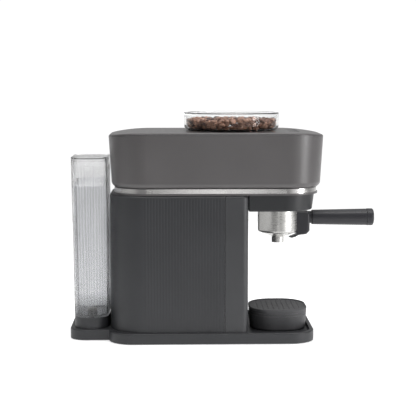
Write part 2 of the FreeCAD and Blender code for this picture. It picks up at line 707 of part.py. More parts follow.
def brew_piston():
    """Hollow piston that tamps the coffee and then brews through its screen."""
    crown_disc = cylinder(CUP_X, 0, PISTON_BOTTOM, PISTON_BOTTOM + 11, PISTON_RADIUS)
    groove = ring(CUP_X, 0, PISTON_BOTTOM + 4, PISTON_BOTTOM + 7.5, 30, PISTON_RADIUS - 2.0)
    rod = cylinder(CUP_X, 0, PISTON_BOTTOM + 10, 290, 8)
    bore = cylinder(CUP_X, 0, PISTON_BOTTOM + 4, 291, SPINDLE_RADIUS + RUNNING_GAP)
    nipple = cylinder(CUP_X, HOSE_Y, PISTON_BOTTOM + 10, PISTON_BOTTOM + 15, 3.2)
    return crown_disc.fuse([rod, nipple]).cut([groove, bore])


def piston_seal():
    outer_radius = PISTON_RADIUS + 0.35
    return ring(CUP_X, 0, PISTON_BOTTOM + 4.1, PISTON_BOTTOM + 7.4, outer_radius, PISTON_RADIUS - 1.9)


def shower_screen():
    """Perforated steel disc under the piston."""
    disc = cylinder(CUP_X, 0, PISTON_BOTTOM - 1.2, PISTON_BOTTOM, PISTON_RADIUS - 0.6)
    holes = []
    for radius, count in ((6, 6), (12, 12), (18, 18)):
        for index in range(count):
            angle = 2 * math.pi * index / count
            x = CUP_X + radius * math.cos(angle)
            holes.append(cylinder(x, radius * math.sin(angle), PISTON_BOTTOM - 2, PISTON_BOTTOM + 0.5, 0.9))
    return disc.cut(holes)


def brew_hose():
    """Short pleated hot-water hose that follows the piston."""
    return ring(CUP_X, HOSE_Y, PISTON_BOTTOM + 15.1, 291.0, 3.2, 1.8)


def piston_spindle():
    screw = cylinder(CUP_X, 0, 250, 298, SPINDLE_RADIUS)
    collar = cylinder(CUP_X, 0, 291, 294, 9)
    return screw.fuse(collar)


def spindle_motor():
    """Flat geared motor over the spindle."""
    can = rounded(cylinder(CUP_X, 0, 295, 307, 12), 2, at_height(307))
    hole = cylinder(CUP_X, 0, 294, 299, SPINDLE_RADIUS + RUNNING_GAP)
    ears = [box(x, x + 8, -4, 4, 295, 297.5) for x in (CUP_X - 19, CUP_X + 11)]
    return can.fuse(ears).cut(hole)


# ---- portafilter --------------------------------------------------------------------
def portafilter_cup():
    profile = [
        (CUP_RADIUS, CUP_CONE_TOP), (CUP_RADIUS, 209.0), (33.2, 209.6), (33.2, CUP_TOP),
        (28.0, CUP_TOP), (28.0, 166.0), (5.0, 157.0), (5.0, CUP_CONE_BOTTOM),
        (SPOUT_RADIUS + 0.5, CUP_CONE_BOTTOM),
    ]
    cup = turned(CUP_X, profile)
    cup = rounded(cup, 3.5, lambda c: abs(c.z - CUP_CONE_TOP) < 0.01 and abs(c.x - CUP_X) < 1)
    lugs = []
    for side in (90, 270):
        lug = box(CUP_X + 30, CUP_X + 39.2, -9, 9, 209.0, 213.5)
        lug = lug.common(ring(CUP_X, 0, 200, 220, 39.2, 30))
        lug.rotate(point(CUP_X, 0, 0), UP, side)
        lugs.append(lug)
    bolt_hole_start = point(CUP_X + 26, 0, HANDLE_Z)
    bolt_hole = Part.makeCylinder(BOLT_RADIUS + RUNNING_GAP, 10, bolt_hole_start, point(1, 0, 0))
    return cup.fuse(lugs).cut(bolt_hole)


def filter_basket():
    inner = BASKET_RADIUS - 0.6
    profile = [
        (inner, BASKET_FLOOR + 0.6), (inner, CUP_TOP + 0.9), (31.0, CUP_TOP + 0.9), (31.0, CUP_TOP + 0.1),
        (BASKET_RADIUS, CUP_TOP + 0.1), (BASKET_RADIUS, BASKET_FLOOR),
        (0, BASKET_FLOOR), (0, BASKET_FLOOR + 0.6),
    ]
    basket = turned(CUP_X, profile)
    holes = []
    for radius, count in ((4, 6), (8, 12), (12, 18), (16, 24)):
        for index in range(count):
            angle = 2 * math.pi * index / count
            x = CUP_X + radius * math.cos(angle)
            holes.append(cylinder(x, radius * math.sin(angle), BASKET_FLOOR - 1, BASKET_FLOOR + 1, 0.5))
    return basket.cut(holes)


def coffee_spout():
    """Short spout split by a web, so one shot falls in two streams."""
    tube = ring(CUP_X, 0, SPOUT_BOTTOM, CUP_CONE_BOTTOM - 0.05, SPOUT_RADIUS, SPOUT_RADIUS - 1.4)
    reach = SPOUT_RADIUS - 0.5
    web = box(CUP_X - 1, CUP_X + 1, -reach, reach, SPOUT_BOTTOM + 1.5, CUP_CONE_BOTTOM - 0.05)
    inlet = ring(CUP_X, 0, CUP_CONE_BOTTOM - 0.1, CUP_CONE_BOTTOM + 5, 4.95, 3.6)
    roof = ring(CUP_X, 0, CUP_CONE_BOTTOM - 1.5, CUP_CONE_BOTTOM - 0.05, SPOUT_RADIUS - 0.5, 3.6)
    return tube.fuse([web, inlet, roof])


def portafilter_bracket():
    """Moulded bracket against the cup, with a tongue that runs under its cone."""
    block = side_profile([
        (114, 191.6), (133.5, 191.6), (135.4, 189.5), (135.4, 162.2), (133.6, 160.2),
        (130.0, 157.4), (121.0, 156.4), (114.0, 156.0),
    ], 14)
    block = block.makeFillet(4.0, [
        edge for edge in block.Edges
        if abs(abs(edge.CenterOfMass.y) - 14) < 0.01 and edge.CenterOfMass.x > 134
    ])
    tongue = side_profile([
        (121.5, 158.6), (103.8, 151.4), (108.4, 150.7), (114.2, 152.4),
        (120.5, 156.0), (126, 157.5), (126, 160),
    ], 7)
    neck = Part.makeCylinder(9.6, HANDLE_START - 130.2, point(130, 0, HANDLE_Z), point(1, 0, 0))
    cup_room = cylinder(CUP_X, 0, CUP_CONE_TOP - 0.2, 220, CUP_RADIUS + 0.05)
    cone_room = Part.makeCone(
        SPOUT_RADIUS + 0.7, CUP_RADIUS + 0.05, CUP_CONE_TOP - CUP_CONE_BOTTOM + 0.2,
        point(CUP_X, 0, CUP_CONE_BOTTOM - 0.2), UP,
    )
    bolt_hole = Part.makeCylinder(BOLT_RADIUS + RUNNING_GAP, 60, point(100, 0, HANDLE_Z), point(1, 0, 0))
    return block.fuse([tongue, neck]).cut([cup_room, cone_room, bolt_hole])


def handle_grip():
    length = HANDLE_CAP_START - HANDLE_START
    start = point(HANDLE_START, 0, HANDLE_Z)
    grip = Part.makeCone(GRIP_START_RADIUS, GRIP_END_RADIUS, length, start, point(1, 0, 0))
    grip = rounded(grip, 1.5, lambda c: abs(c.x - HANDLE_START) < 0.01)
    bore = Part.makeCylinder(BOLT_RADIUS + RUNNING_GAP, 200, point(100, 0, HANDLE_Z), point(1, 0, 0))
    return grip.cut(bore)


def handle_end_cap():
    start = HANDLE_CAP_START + 0.4
    cap = Part.makeCylinder(CAP_RADIUS, HANDLE_END - start, point(start, 0, HANDLE_Z), point(1, 0, 0))
    cap = rounded(cap, 3.2, lambda c: abs(c.x - HANDLE_END) < 0.01)
    cap = rounded(cap, 0.5, lambda c: abs(c.x - start) < 0.01)
    bore_start = point(HANDLE_CAP_START, 0, HANDLE_Z)
    bore = Part.makeCylinder(BOLT_RADIUS + RUNNING_GAP, 6.4, bore_start, point(1, 0, 0))
    return cap.cut(bore)


def handle_bolt():
    start = CUP_X + 27.1
    length = HANDLE_CAP_START + 6 - start
    return Part.makeCylinder(BOLT_RADIUS, length, point(start, 0, HANDLE_Z), point(1, 0, 0))


# ---- water tank ---------------------------------------------------------------------
def tank_rows(inset):
    """Plan outlines at the foot and the top of the drafted tank, pulled in by inset."""
    front = TANK_FRONT - inset
    half_width = TANK_HALF_WIDTH - inset
    corner = TANK_CORNER - inset
    low = (TANK_REAR_BOTTOM + inset, front, half_width - 1.5, corner, corner)
    high = (TANK_REAR_TOP + inset, front, half_width, corner, corner)
    return low, high


def water_tank():
    low, high = tank_rows(0)
    outer = plan_loft(low, high, TANK_BOTTOM, TANK_TOP)
    low, high = tank_rows(TANK_WALL)
    inner = plan_loft(low, high, TANK_BOTTOM + TANK_WALL, TANK_TOP + 0.001)
    valve_hole = cylinder(VALVE_X, 0, TANK_BOTTOM - 1, TANK_BOTTOM + 5, 3.3)
    return outer.cut([inner, valve_hole])


def tank_lid():
    """Clear drop-in lid with a thin raised rim."""
    plate = plan_prism(
        TANK_REAR_TOP, TANK_FRONT, TANK_HALF_WIDTH, TANK_CORNER, TANK_CORNER, TANK_TOP + 0.2, TANK_LID_TOP,
    )
    plate = rounded(plate, 0.6, at_height(TANK_LID_TOP))
    dish = plan_prism(
        TANK_REAR_TOP + 4, TANK_FRONT - 4, TANK_HALF_WIDTH - 4, TANK_CORNER - 4, TANK_CORNER - 4,
        TANK_LID_TOP - 0.9, TANK_LID_TOP + 1,
    )
    plug_wall = TANK_WALL + 0.4
    plug = plan_prism(
        TANK_REAR_TOP + plug_wall, TANK_FRONT - plug_wall, TANK_HALF_WIDTH - plug_wall,
        TANK_CORNER - plug_wall, TANK_CORNER - plug_wall, TANK_TOP - 4, TANK_TOP + 0.5,
    )
    plug_room = plan_prism(
        TANK_REAR_TOP + plug_wall + 1.6, TANK_FRONT - plug_wall - 1.6, TANK_HALF_WIDTH - plug_wall - 1.6,
        TANK_CORNER - plug_wall - 1.6, TANK_CORNER - plug_wall - 1.6, TANK_TOP - 5, TANK_TOP + 0.5,
    )
    return plate.cut(dish).fuse(plug.cut(plug_room))


def tank_base():
    """Dark foot moulded under the tank, with the valve boss in its middle."""
    low = (TANK_REAR_BOTTOM + 0.3, TANK_FRONT - 0.3, TANK_HALF_WIDTH - 1.9, TANK_CORNER, TANK_CORNER)
    outer = plan_prism(*low, BASE_TOP + 0.3, TANK_BOTTOM - 0.05)
    inner = plan_prism(
        low[0] + WALL, low[1] - WALL, low[2] - WALL, TANK_CORNER - WALL, TANK_CORNER - WALL,
        BASE_TOP, TANK_BOTTOM - WALL,
    )
    boss = cylinder(VALVE_X, 0, 20.0, TANK_BOTTOM - WALL + 0.1, 11)
    well = cylinder(VALVE_X, 0, 19, 31.6, 6.4)
    stem_hole = cylinder(VALVE_X, 0, 30, 40, 3.3)
    return outer.cut(inner).fuse(boss).cut([well, stem_hole])


def tank_valve_plunger():
    stem = cylinder(VALVE_X, 0, 19.8, 38, 2.8)
    collar = cylinder(VALVE_X, 0, 20.2, 21.6, 5.6)
    plug = rounded(cylinder(VALVE_X, 0, 36.9, 40, 7.5), 1, at_height(40))
    return stem.fuse([collar, plug])


def tank_valve_spring():
    helix = Part.makeHelix(2.2, 9.0, 4.6)
    section = Part.Wire([Part.Circle(point(4.6, 0, 0), point(0, 1, 0), 0.45).toShape()])
    spring = Part.Wire(helix.Edges).makePipeShell([section], True, True)
    spring.translate(point(VALVE_X, 0, 22.2))
    return spring


# ---- water path and electronics -----------------------------------------------------
def pump():
    body = Part.makeCylinder(19, 36, point(-112, 0, 60), point(1, 0, 0))
    coil = box(-106, -84, -24, 24, 40, 80)
    inlet = Part.makeCylinder(5, 13, point(-124, 0, 60), point(1, 0, 0))
    outlet = Part.makeCylinder(8, 14, point(-77, 0, 60), point(1, 0, 0))
    return body.fuse([coil, inlet, outlet])


def pump_mounts():
    """Two rubber blocks that carry the pump on the frame's floor."""
    blocks = []
    for x in (-104, -92):
        block = box(x, x + 8, -18, 18, BASE_TOP + 2.2, 44)
        blocks.append(block.cut(box(-106, -84, -24, 24, 39.9, 80)))
    return Part.makeCompound(blocks)


def suction_tube():
    socket_side = VALVE_X + 16.1
    return tube_along([(socket_side, 0, 9), (-140, 0, 9), (-140, 0, 60), (-124.1, 0, 60)], 9, 3)


def pressure_tube():
    return tube_along([(-62.9, 0, 60), (-50, 0, 60), (-50, 0, 118), (-63.9, 0, 118)], 6, 2.5)


def brew_tube():
    route = [
        (-63.9, 38, 150), (-50, 38, 150), (-50, 38, 298),
        (CUP_X, 38, 298), (CUP_X, HOSE_Y, 298), (CUP_X, HOSE_Y, 291.2),
    ]
    return tube_along(route, 5.5, 2.5)


def thermoblock():
    """Cast aluminium water heater with cooling ribs."""
    block = box(-114, -64, -45, 45, 108, 160)
    slots = [box(-115, -63, y, y + 4, 156, 161) for y in range(-40, 40, 10)]
    return block.cut(slots)


def control_board():
    board = box(-120, -10, 70, 71.6, 40, 150)
    parts = [
        box(-110, -86, 58, 70.1, 52, 78),
        box(-70, -50, 62, 70.1, 60, 90),
        box(-40, -20, 60, 70.1, 110, 140),
    ]
    return board.fuse(parts)


# ---- drip tray ----------------------------------------------------------------------
def drip_tray_box():
    block = tray_form(0, TRAY_FLOOR, TRAY_SPLIT - 0.15)
    block = rounded(block, 4.0, at_height(TRAY_FLOOR))
    hollow = tray_form(WALL, TRAY_FLOOR + WALL, TRAY_SPLIT + 1)
    groove = tray_form(-1, TRAY_GROOVE, TRAY_GROOVE + 0.6)
    groove = groove.cut(tray_form(0.45, TRAY_GROOVE - 0.1, TRAY_GROOVE + 0.7))
    return block.cut([hollow, groove])


def drip_tray_cover():
    """Lift-off cover: a drained deck inside a thin raised rim."""
    block = rounded(tray_form(0, TRAY_SPLIT + 0.15, TRAY_TOP), 1.6, at_height(TRAY_TOP))
    deck_room = tray_form(3.0, TRAY_TOP - 1.2, TRAY_TOP + 1)
    under = tray_form(WALL + 0.2, TRAY_SPLIT - 1, TRAY_TOP - 3.4)
    skirt = tray_form(WALL + 0.5, TRAY_SPLIT - 3, TRAY_TOP - 3)
    skirt = skirt.cut(tray_form(WALL + 2.0, TRAY_SPLIT - 4, TRAY_TOP - 2))
    holes = []
    for column in range(-4, 5):
        for row in range(-4, 5):
            x = TRAY_X + column * TRAY_HOLE_PITCH
            y = row * TRAY_HOLE_PITCH
            if (column / 4.4) ** 4 + (row / 4.9) ** 4 < 1:
                holes.append(cylinder(x, y, TRAY_SPLIT - 5, TRAY_TOP + 5, TRAY_HOLE_RADIUS))
    return block.cut([deck_room, under]).fuse(skirt).cut(holes)


NODES = {
    "base_plate": base_plate,
    "base_bottom_cover": base_bottom_cover,
    "rubber_feet": rubber_feet,
    "base_screws": base_screws,
    "tank_socket": tank_socket,
    "cord_gland": cord_gland,
    "rear_body_shell": rear_body_shell,
    "front_body_cover": front_body_cover,
    "chassis_frame": chassis_frame,
    "trim_band": trim_band,
    "head_bottom_plate": head_bottom_plate,
    "group_cowl": group_cowl,
    "head_shell": head_shell,
    "head_top_cover": head_top_cover,
    "brew_button_near": lambda: brew_button(-1),
    "brew_button_middle": lambda: brew_button(0),
    "brew_button_far": lambda: brew_button(1),
    "button_board": button_board,
    "bean_hopper": bean_hopper,
    "hopper_lid": hopper_lid,
    "grinder_housing": grinder_housing,
    "burr_adjust_ring": burr_adjust_ring,
    "ring_burr": ring_burr,
    "cone_burr": cone_burr,
    "burr_shaft": burr_shaft,
    "shaft_bearing": shaft_bearing,
    "burr_gear": burr_gear,
    "motor_pinion": motor_pinion,
    "grinder_motor": grinder_motor,
    "coffee_chute": coffee_chute,
    "brew_cylinder": brew_cylinder,
    "bayonet_collar": bayonet_collar,
    "group_gasket": group_gasket,
    "brew_piston": brew_piston,
    "piston_seal": piston_seal,
    "shower_screen": shower_screen,
    "brew_hose": brew_hose,
    "piston_spindle": piston_spindle,
    "spindle_motor": spindle_motor,
    "portafilter_cup": portafilter_cup,
    "filter_basket": filter_basket,
    "coffee_spout": coffee_spout,
    "portafilter_bracket": portafilter_bracket,
    "handle_grip": handle_grip,
    "handle_end_cap": handle_end_cap,
    "handle_bolt": handle_bolt,
    "water_tank": water_tank,
    "tank_lid": tank_lid,
    "tank_base": tank_base,
    "tank_valve_plunger": tank_valve_plunger,
    "tank_valve_spring": tank_valve_spring,
    "pump": pump,
    "pump_mounts": pump_mounts,
    "suction_tube": suction_tube,
    "pressure_tube": pressure_tube,
    "brew_tube": brew_tube,
    "thermoblock": thermoblock,
    "control_board": control_board,
    "drip_tray_box": drip_tray_box,
    "drip_tray_cover": drip_tray_cover,
}

os.makedirs("parts", exist_ok=True)
for name, make in NODES.items():
    shape = make()
    print(name, len(shape.Solids), round(shape.Volume), shape.isValid())
    shape.exportStep("parts/" + name + ".step")
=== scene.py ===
import math
import random

import bpy
from mathutils import Matrix, Vector


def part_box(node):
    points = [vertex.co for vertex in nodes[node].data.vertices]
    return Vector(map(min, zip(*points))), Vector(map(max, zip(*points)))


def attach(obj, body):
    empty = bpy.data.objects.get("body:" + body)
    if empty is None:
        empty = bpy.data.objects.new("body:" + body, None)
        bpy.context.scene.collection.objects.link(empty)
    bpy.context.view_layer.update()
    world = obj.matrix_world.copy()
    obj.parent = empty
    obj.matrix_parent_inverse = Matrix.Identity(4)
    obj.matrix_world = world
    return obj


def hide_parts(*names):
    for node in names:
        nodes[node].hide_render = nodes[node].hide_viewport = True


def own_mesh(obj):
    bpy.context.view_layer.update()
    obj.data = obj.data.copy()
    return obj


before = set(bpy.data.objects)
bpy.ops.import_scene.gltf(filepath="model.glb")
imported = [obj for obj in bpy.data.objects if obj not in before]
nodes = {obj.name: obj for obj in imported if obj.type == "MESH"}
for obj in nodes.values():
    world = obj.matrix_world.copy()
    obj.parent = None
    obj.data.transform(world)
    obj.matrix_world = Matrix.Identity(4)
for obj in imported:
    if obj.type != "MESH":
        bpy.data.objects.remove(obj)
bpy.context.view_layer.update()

scene = bpy.context.scene

# ---- Camera -------------------------------------------------------------------------
# A long lens well in front of the machine's near side, a little above the hopper and
# turned slightly towards the handle end. It has no shift and no depth of field.
lens_length = 100.4
camera_distance = 1.8
camera_height = 0.4031
camera_turn = math.radians(1.52)
camera_pitch = math.radians(6.524)
aim_x = -0.0229

lens = bpy.data.cameras.new("studio_camera")
lens.lens = lens_length
lens.sensor_width = 36.0
camera = bpy.data.objects.new("studio_camera", lens)
scene.collection.objects.link(camera)
camera.location = (aim_x - camera_distance * math.tan(camera_turn), -camera_distance, camera_height)
camera.rotation_euler = (math.radians(90) - camera_pitch, 0, -camera_turn)
scene.camera = camera

# ---- Floor and studio light ---------------------------------------------------------
# A small white table in a studio: the room is bright behind the machine and at its two
# ends, and dim behind the camera, so rounded parts show soft upright bands.
scene.view_settings.view_transform = "Standard"

room = bpy.data.worlds.new("studio_room")
scene.world = room
room.use_nodes = True
room_tree = room.node_tree
room_air = room_tree.nodes["Background"]
heading = room_tree.nodes.new("ShaderNodeSeparateXYZ")
room_tree.links.new(room_tree.nodes.new("ShaderNodeTexCoord").outputs["Generated"], heading.inputs[0])
toward_camera = room_tree.nodes.new("ShaderNodeMath")
toward_camera.operation = "MULTIPLY"
toward_camera.inputs[1].default_value = -1.0
room_tree.links.new(heading.outputs["Y"], toward_camera.inputs[0])
bearing = room_tree.nodes.new("ShaderNodeMath")
bearing.operation = "ARCTAN2"
room_tree.links.new(heading.outputs["X"], bearing.inputs[0])
room_tree.links.new(toward_camera.outputs["Value"], bearing.inputs[1])
bearing_share = room_tree.nodes.new("ShaderNodeMapRange")
bearing_share.inputs["From Min"].default_value = -math.pi
bearing_share.inputs["From Max"].default_value = math.pi
room_tree.links.new(bearing.outputs["Value"], bearing_share.inputs["Value"])
walls = room_tree.nodes.new("ShaderNodeValToRGB")
walls.color_ramp.interpolation = "EASE"
wall_glow = [
    (-180, 1.00), (-135, 0.90), (-105, 0.28), (-85, 0.42), (-50, 0.50), (-28, 0.26), (8, 0.26),
    (34, 0.85), (42, 1.00), (62, 1.00), (74, 0.60), (95, 0.32), (125, 0.60), (150, 0.95), (180, 1.00),
]
for place, glow in wall_glow[1:-1]:
    walls.color_ramp.elements.new((place + 180) / 360)
for stop, (place, glow) in zip(walls.color_ramp.elements, wall_glow):
    stop.color = (glow, glow, glow, 1)
room_tree.links.new(bearing_share.outputs["Result"], walls.inputs["Fac"])
height_share = room_tree.nodes.new("ShaderNodeMapRange")
height_share.inputs["From Min"].default_value = 0.35
height_share.inputs["From Max"].default_value = 0.85
room_tree.links.new(heading.outputs["Z"], height_share.inputs["Value"])
ceiling = room_tree.nodes.new("ShaderNodeMix")
ceiling.data_type = "RGBA"
ceiling.inputs["B"].default_value = (0.60, 0.60, 0.60, 1)
room_tree.links.new(height_share.outputs["Result"], ceiling.inputs["Factor"])
horizon = room_tree.nodes.new("ShaderNodeMapRange")
horizon.inputs["From Min"].default_value = 0.0
horizon.inputs["From Max"].default_value = 0.12
horizon.inputs["To Min"].default_value = 1.0
horizon.inputs["To Max"].default_value = 0.42
room_tree.links.new(heading.outputs["Z"], horizon.inputs["Value"])
upper_walls = room_tree.nodes.new("ShaderNodeVectorMath")
upper_walls.operation = "SCALE"
room_tree.links.new(walls.outputs["Color"], upper_walls.inputs[0])
room_tree.links.new(horizon.outputs["Result"], upper_walls.inputs["Scale"])
room_tree.links.new(upper_walls.outputs["Vector"], ceiling.inputs["A"])
seen = room_tree.nodes.new("ShaderNodeMix")
seen.data_type = "RGBA"
seen.inputs["B"].default_value = (1, 1, 1, 1)
camera_ray = room_tree.nodes.new("ShaderNodeLightPath").outputs["Is Camera Ray"]
room_tree.links.new(camera_ray, seen.inputs["Factor"])
room_tree.links.new(ceiling.outputs["Result"], seen.inputs["A"])
room_tree.links.new(seen.outputs["Result"], room_air.inputs["Color"])
room_air.inputs["Strength"].default_value = 1.05


def soft_box(name, place, target, width, height, power):
    """Rectangular studio light that faces target and isn't seen directly."""
    light = bpy.data.lights.new(name, "AREA")
    light.shape = "RECTANGLE"
    light.size = width
    light.size_y = height
    light.energy = power
    box = bpy.data.objects.new(name, light)
    scene.collection.objects.link(box)
    box.location = place
    direction = Vector(target) - Vector(place)
    box.rotation_euler = direction.to_track_quat("-Z", "Y").to_euler()
    box.visible_camera = False
    return box


machine_middle = (0.0, 0.0, 0.2)
table_middle = (0.0, 0.0, 0.0)
soft_box("handle_side_light", (1.72, -1.02, 0.25), machine_middle, width=0.60, height=1.3, power=17)
soft_box("front_strip_light", (0.10, -3.0, 0.35), machine_middle, width=0.30, height=1.9, power=2.6)
cup_card_place = (0.0380, -0.030, 0.178)
cup_card_target = (0.0865, -0.030, 0.178)
soft_box("cup_card", cup_card_place, cup_card_target, width=0.080, height=0.040, power=0.0065)
soft_box("overhead_light", (0.1, 0.3, 2.2), table_middle, width=2.4, height=2.0, power=14)
soft_box("edge_light", (0.1, -0.55, 1.9), table_middle, width=2.2, height=0.45, power=16)

table_half_length = 1.5
table_front = -0.62
table_back = 1.4
table_corners = [
    (-table_half_length, table_front, 0), (table_half_length, table_front, 0),
    (table_half_length, table_back, 0), (-table_half_length, table_back, 0),
]
table_mesh = bpy.data.meshes.new("studio_table")
table_mesh.from_pydata(table_corners, [], [(0, 1, 2, 3)])
table = bpy.data.objects.new("studio_table", table_mesh)
scene.collection.objects.link(table)
table_paint = bpy.data.materials.new("studio_white")
table_paint.use_nodes = True
table_shader = table_paint.node_tree.nodes["Principled BSDF"]
table_shader.inputs["Base Color"].default_value = (0.93, 0.93, 0.93, 1)
table_shader.inputs["Roughness"].default_value = 0.6
table_shader.inputs["Emission Color"].default_value = (1, 1, 1, 1)
table_shader.inputs["Emission Strength"].default_value = 0.52
table_mesh.materials.append(table_paint)


# ---- Base plate, bottom cover, body covers and cowl ---------------------------------
# The dark outer covers: injection-moulded ABS with a fine spark-eroded grain, a little cool in colour,
# polished slightly where hands and cloths wear the edges. Their edges are painted lighter, partly as wear
# and partly as a painted highlight.
def new_group(name, inputs, outputs):
    """Empty shader node group; inputs and outputs are (name, socket type, default)."""
    group = bpy.data.node_groups.new(name, "ShaderNodeTree")
    for socket_name, kind, default in inputs:
        socket = group.interface.new_socket(socket_name, in_out="INPUT", socket_type=kind)
        if default is not None:
            socket.default_value = default
    for socket_name, kind in outputs:
        group.interface.new_socket(socket_name, in_out="OUTPUT", socket_type=kind)
    entry = group.nodes.new("NodeGroupInput")
    leave = group.nodes.new("NodeGroupOutput")
    return group, entry, leave


def noise(tree, vector, size_mm, detail, roughness=0.5):
    """Noise whose blobs are about size_mm across, over coordinates in metres."""
    node = tree.nodes.new("ShaderNodeTexNoise")
    node.inputs["Scale"].default_value = 1000.0 / size_mm
    node.inputs["Detail"].default_value = detail
    node.inputs["Roughness"].default_value = roughness
    tree.links.new(vector, node.inputs["Vector"])
    return node.outputs["Fac"]


def remap(tree, value, low, high, to_low, to_high):
    """Value brought from low...high to to_low...to_high, clamped at both ends."""
    node = tree.nodes.new("ShaderNodeMapRange")
    node.inputs["From Min"].default_value = low
    node.inputs["From Max"].default_value = high
    node.inputs["To Min"].default_value = to_low
    node.inputs["To Max"].default_value = to_high
    tree.links.new(value, node.inputs["Value"])
    return node.outputs["Result"]


def math_node(tree, operation, first, second):
    """Two numbers combined; each is a plain number or a socket."""
    node = tree.nodes.new("ShaderNodeMath")
    node.operation = operation
    for index, value in enumerate((first, second)):
        if isinstance(value, (int, float)):
            node.inputs[index].default_value = value
        else:
            tree.links.new(value, node.inputs[index])
    return node.outputs["Value"]


def mix_colour(tree, factor, first, second):
    """Colour between first and second; each is a plain colour or a socket."""
    node = tree.nodes.new("ShaderNodeMix")
    node.data_type = "RGBA"
    for socket, value in (("Factor", factor), ("A", first), ("B", second)):
        target = [s for s in node.inputs if s.name == socket and s.enabled][0]
        if isinstance(value, tuple):
            target.default_value = value
        else:
            tree.links.new(value, target)
    return [s for s in node.outputs if s.enabled][0]


def build_moulded_grain():
    """Grain, faint flow marks, handling dust, and edges lightened partly as wear and partly as a painted
    highlight.
    """
    group, entry, leave = new_group(
        "moulded_grain",
        [
            ("Colour", "NodeSocketColor", (0.05, 0.05, 0.05, 1)),
            ("Roughness", "NodeSocketFloat", 0.45),
            ("Grain mm", "NodeSocketFloat", 0.45),
            ("Rub and sheen", "NodeSocketFloat", 0.25),
            ("Dust", "NodeSocketFloat", 0.05),
        ],
        [("Colour", "NodeSocketColor"), ("Roughness", "NodeSocketFloat"), ("Height", "NodeSocketFloat")],
    )
    place = group.nodes.new("ShaderNodeTexCoord").outputs["Object"]
    grain_scale = math_node(group, "DIVIDE", 1000.0, entry.outputs["Grain mm"])
    grain = group.nodes.new("ShaderNodeTexNoise")
    grain.inputs["Detail"].default_value = 2.0
    group.links.new(place, grain.inputs["Vector"])
    group.links.new(grain_scale, grain.inputs["Scale"])
    flow = noise(group, place, 70, 3.0)
    mottle = noise(group, place, 6, 4.0)
    bevel = group.nodes.new("ShaderNodeBevel")
    bevel.samples = 4
    bevel.inputs["Radius"].default_value = 0.0012
    surface = group.nodes.new("ShaderNodeNewGeometry")
    facing = group.nodes.new("ShaderNodeVectorMath")
    facing.operation = "DOT_PRODUCT"
    group.links.new(bevel.outputs["Normal"], facing.inputs[0])
    group.links.new(surface.outputs["Normal"], facing.inputs[1])
    edge = remap(group, facing.outputs["Value"], 0.99, 0.85, 0.0, 1.0)
    worn_and_sheen_edge = math_node(group, "MULTIPLY", edge, remap(group, mottle, 0.35, 0.65, 0.2, 1.0))
    worn_and_sheen_edge = math_node(group, "MULTIPLY", worn_and_sheen_edge, entry.outputs["Rub and sheen"])
    upward = group.nodes.new("ShaderNodeSeparateXYZ")
    group.links.new(surface.outputs["Normal"], upward.inputs[0])
    lying = remap(group, upward.outputs["Z"], 0.5, 1.0, 0.0, 1.0)
    dust = math_node(group, "MULTIPLY", lying, remap(group, mottle, 0.4, 0.75, 0.1, 1.0))
    dust = math_node(group, "MULTIPLY", dust, entry.outputs["Dust"])
    shade = remap(group, flow, 0.3, 0.7, 0.93, 1.07)
    speck = remap(group, grain.outputs["Fac"], 0.3, 0.7, 0.94, 1.06)
    factor = math_node(group, "MULTIPLY", shade, speck)
    tinted = group.nodes.new("ShaderNodeVectorMath")
    tinted.operation = "SCALE"
    group.links.new(entry.outputs["Colour"], tinted.inputs[0])
    group.links.new(factor, tinted.inputs["Scale"])
    # Lighter edges: partly worn plastic, partly a painted highlight along the rounded edges.
    rubbed_and_sheen = mix_colour(group, worn_and_sheen_edge, tinted.outputs["Vector"], (0.30, 0.30, 0.31, 1))
    dusty = mix_colour(group, dust, rubbed_and_sheen, (0.55, 0.53, 0.50, 1))
    group.links.new(dusty, leave.inputs["Colour"])
    rough = math_node(group, "ADD", entry.outputs["Roughness"], remap(group, mottle, 0.3, 0.7, -0.04, 0.05))
    rough = math_node(group, "SUBTRACT", rough, math_node(group, "MULTIPLY", worn_and_sheen_edge, 0.15))
    group.links.new(rough, leave.inputs["Roughness"])
    group.links.new(grain.outputs["Fac"], leave.inputs["Height"])
    return group


moulded_grain = build_moulded_grain()


def plain_material(name):
    """New material with its node tree and its shader."""
    material = bpy.data.materials.new(name)
    material.use_nodes = True
    return material, material.node_tree, material.node_tree.nodes["Principled BSDF"]


def moulded_plastic(name, colour, roughness, grain_mm, bump, rub_and_sheen=0.2, dust=0.03, specular=0.5):
    """Moulded plastic from the grain group; bump is the grain's height in millimetres."""
    material, tree, shader = plain_material(name)
    grain = tree.nodes.new("ShaderNodeGroup")
    grain.node_tree = moulded_grain
    grain.inputs["Colour"].default_value = (*colour, 1)
    grain.inputs["Roughness"].default_value = roughness
    grain.inputs["Grain mm"].default_value = grain_mm
    grain.inputs["Rub and sheen"].default_value = rub_and_sheen
    grain.inputs["Dust"].default_value = dust
    relief = tree.nodes.new("ShaderNodeBump")
    relief.inputs["Strength"].default_value = 0.6
    relief.inputs["Distance"].default_value = bump / 1000.0
    shader.inputs["Specular IOR Level"].default_value = specular
    tree.links.new(grain.outputs["Colour"], shader.inputs["Base Color"])
    tree.links.new(grain.outputs["Roughness"], shader.inputs["Roughness"])
    tree.links.new(grain.outputs["Height"], relief.inputs["Height"])
    tree.links.new(relief.outputs["Normal"], shader.inputs["Normal"])
    return material


def finish(names, material):
    """Give every listed CAD node one material."""
    for name in names:
        mesh = nodes[name].data
        if not mesh.materials:
            mesh.materials.append(material)
        for index in range(len(mesh.materials)):
            mesh.materials[index] = material


# The covers' lighter edges are set higher, partly as a painted highlight along the base's top edge.
cover_plastic = moulded_plastic(
    "graphite_cover_plastic", (0.027, 0.028, 0.031), roughness=0.44, grain_mm=0.40, bump=0.05,
    rub_and_sheen=0.35, specular=0.45,
)
finish(["base_plate", "base_bottom_cover", "rear_body_shell", "tank_base"], cover_plastic)
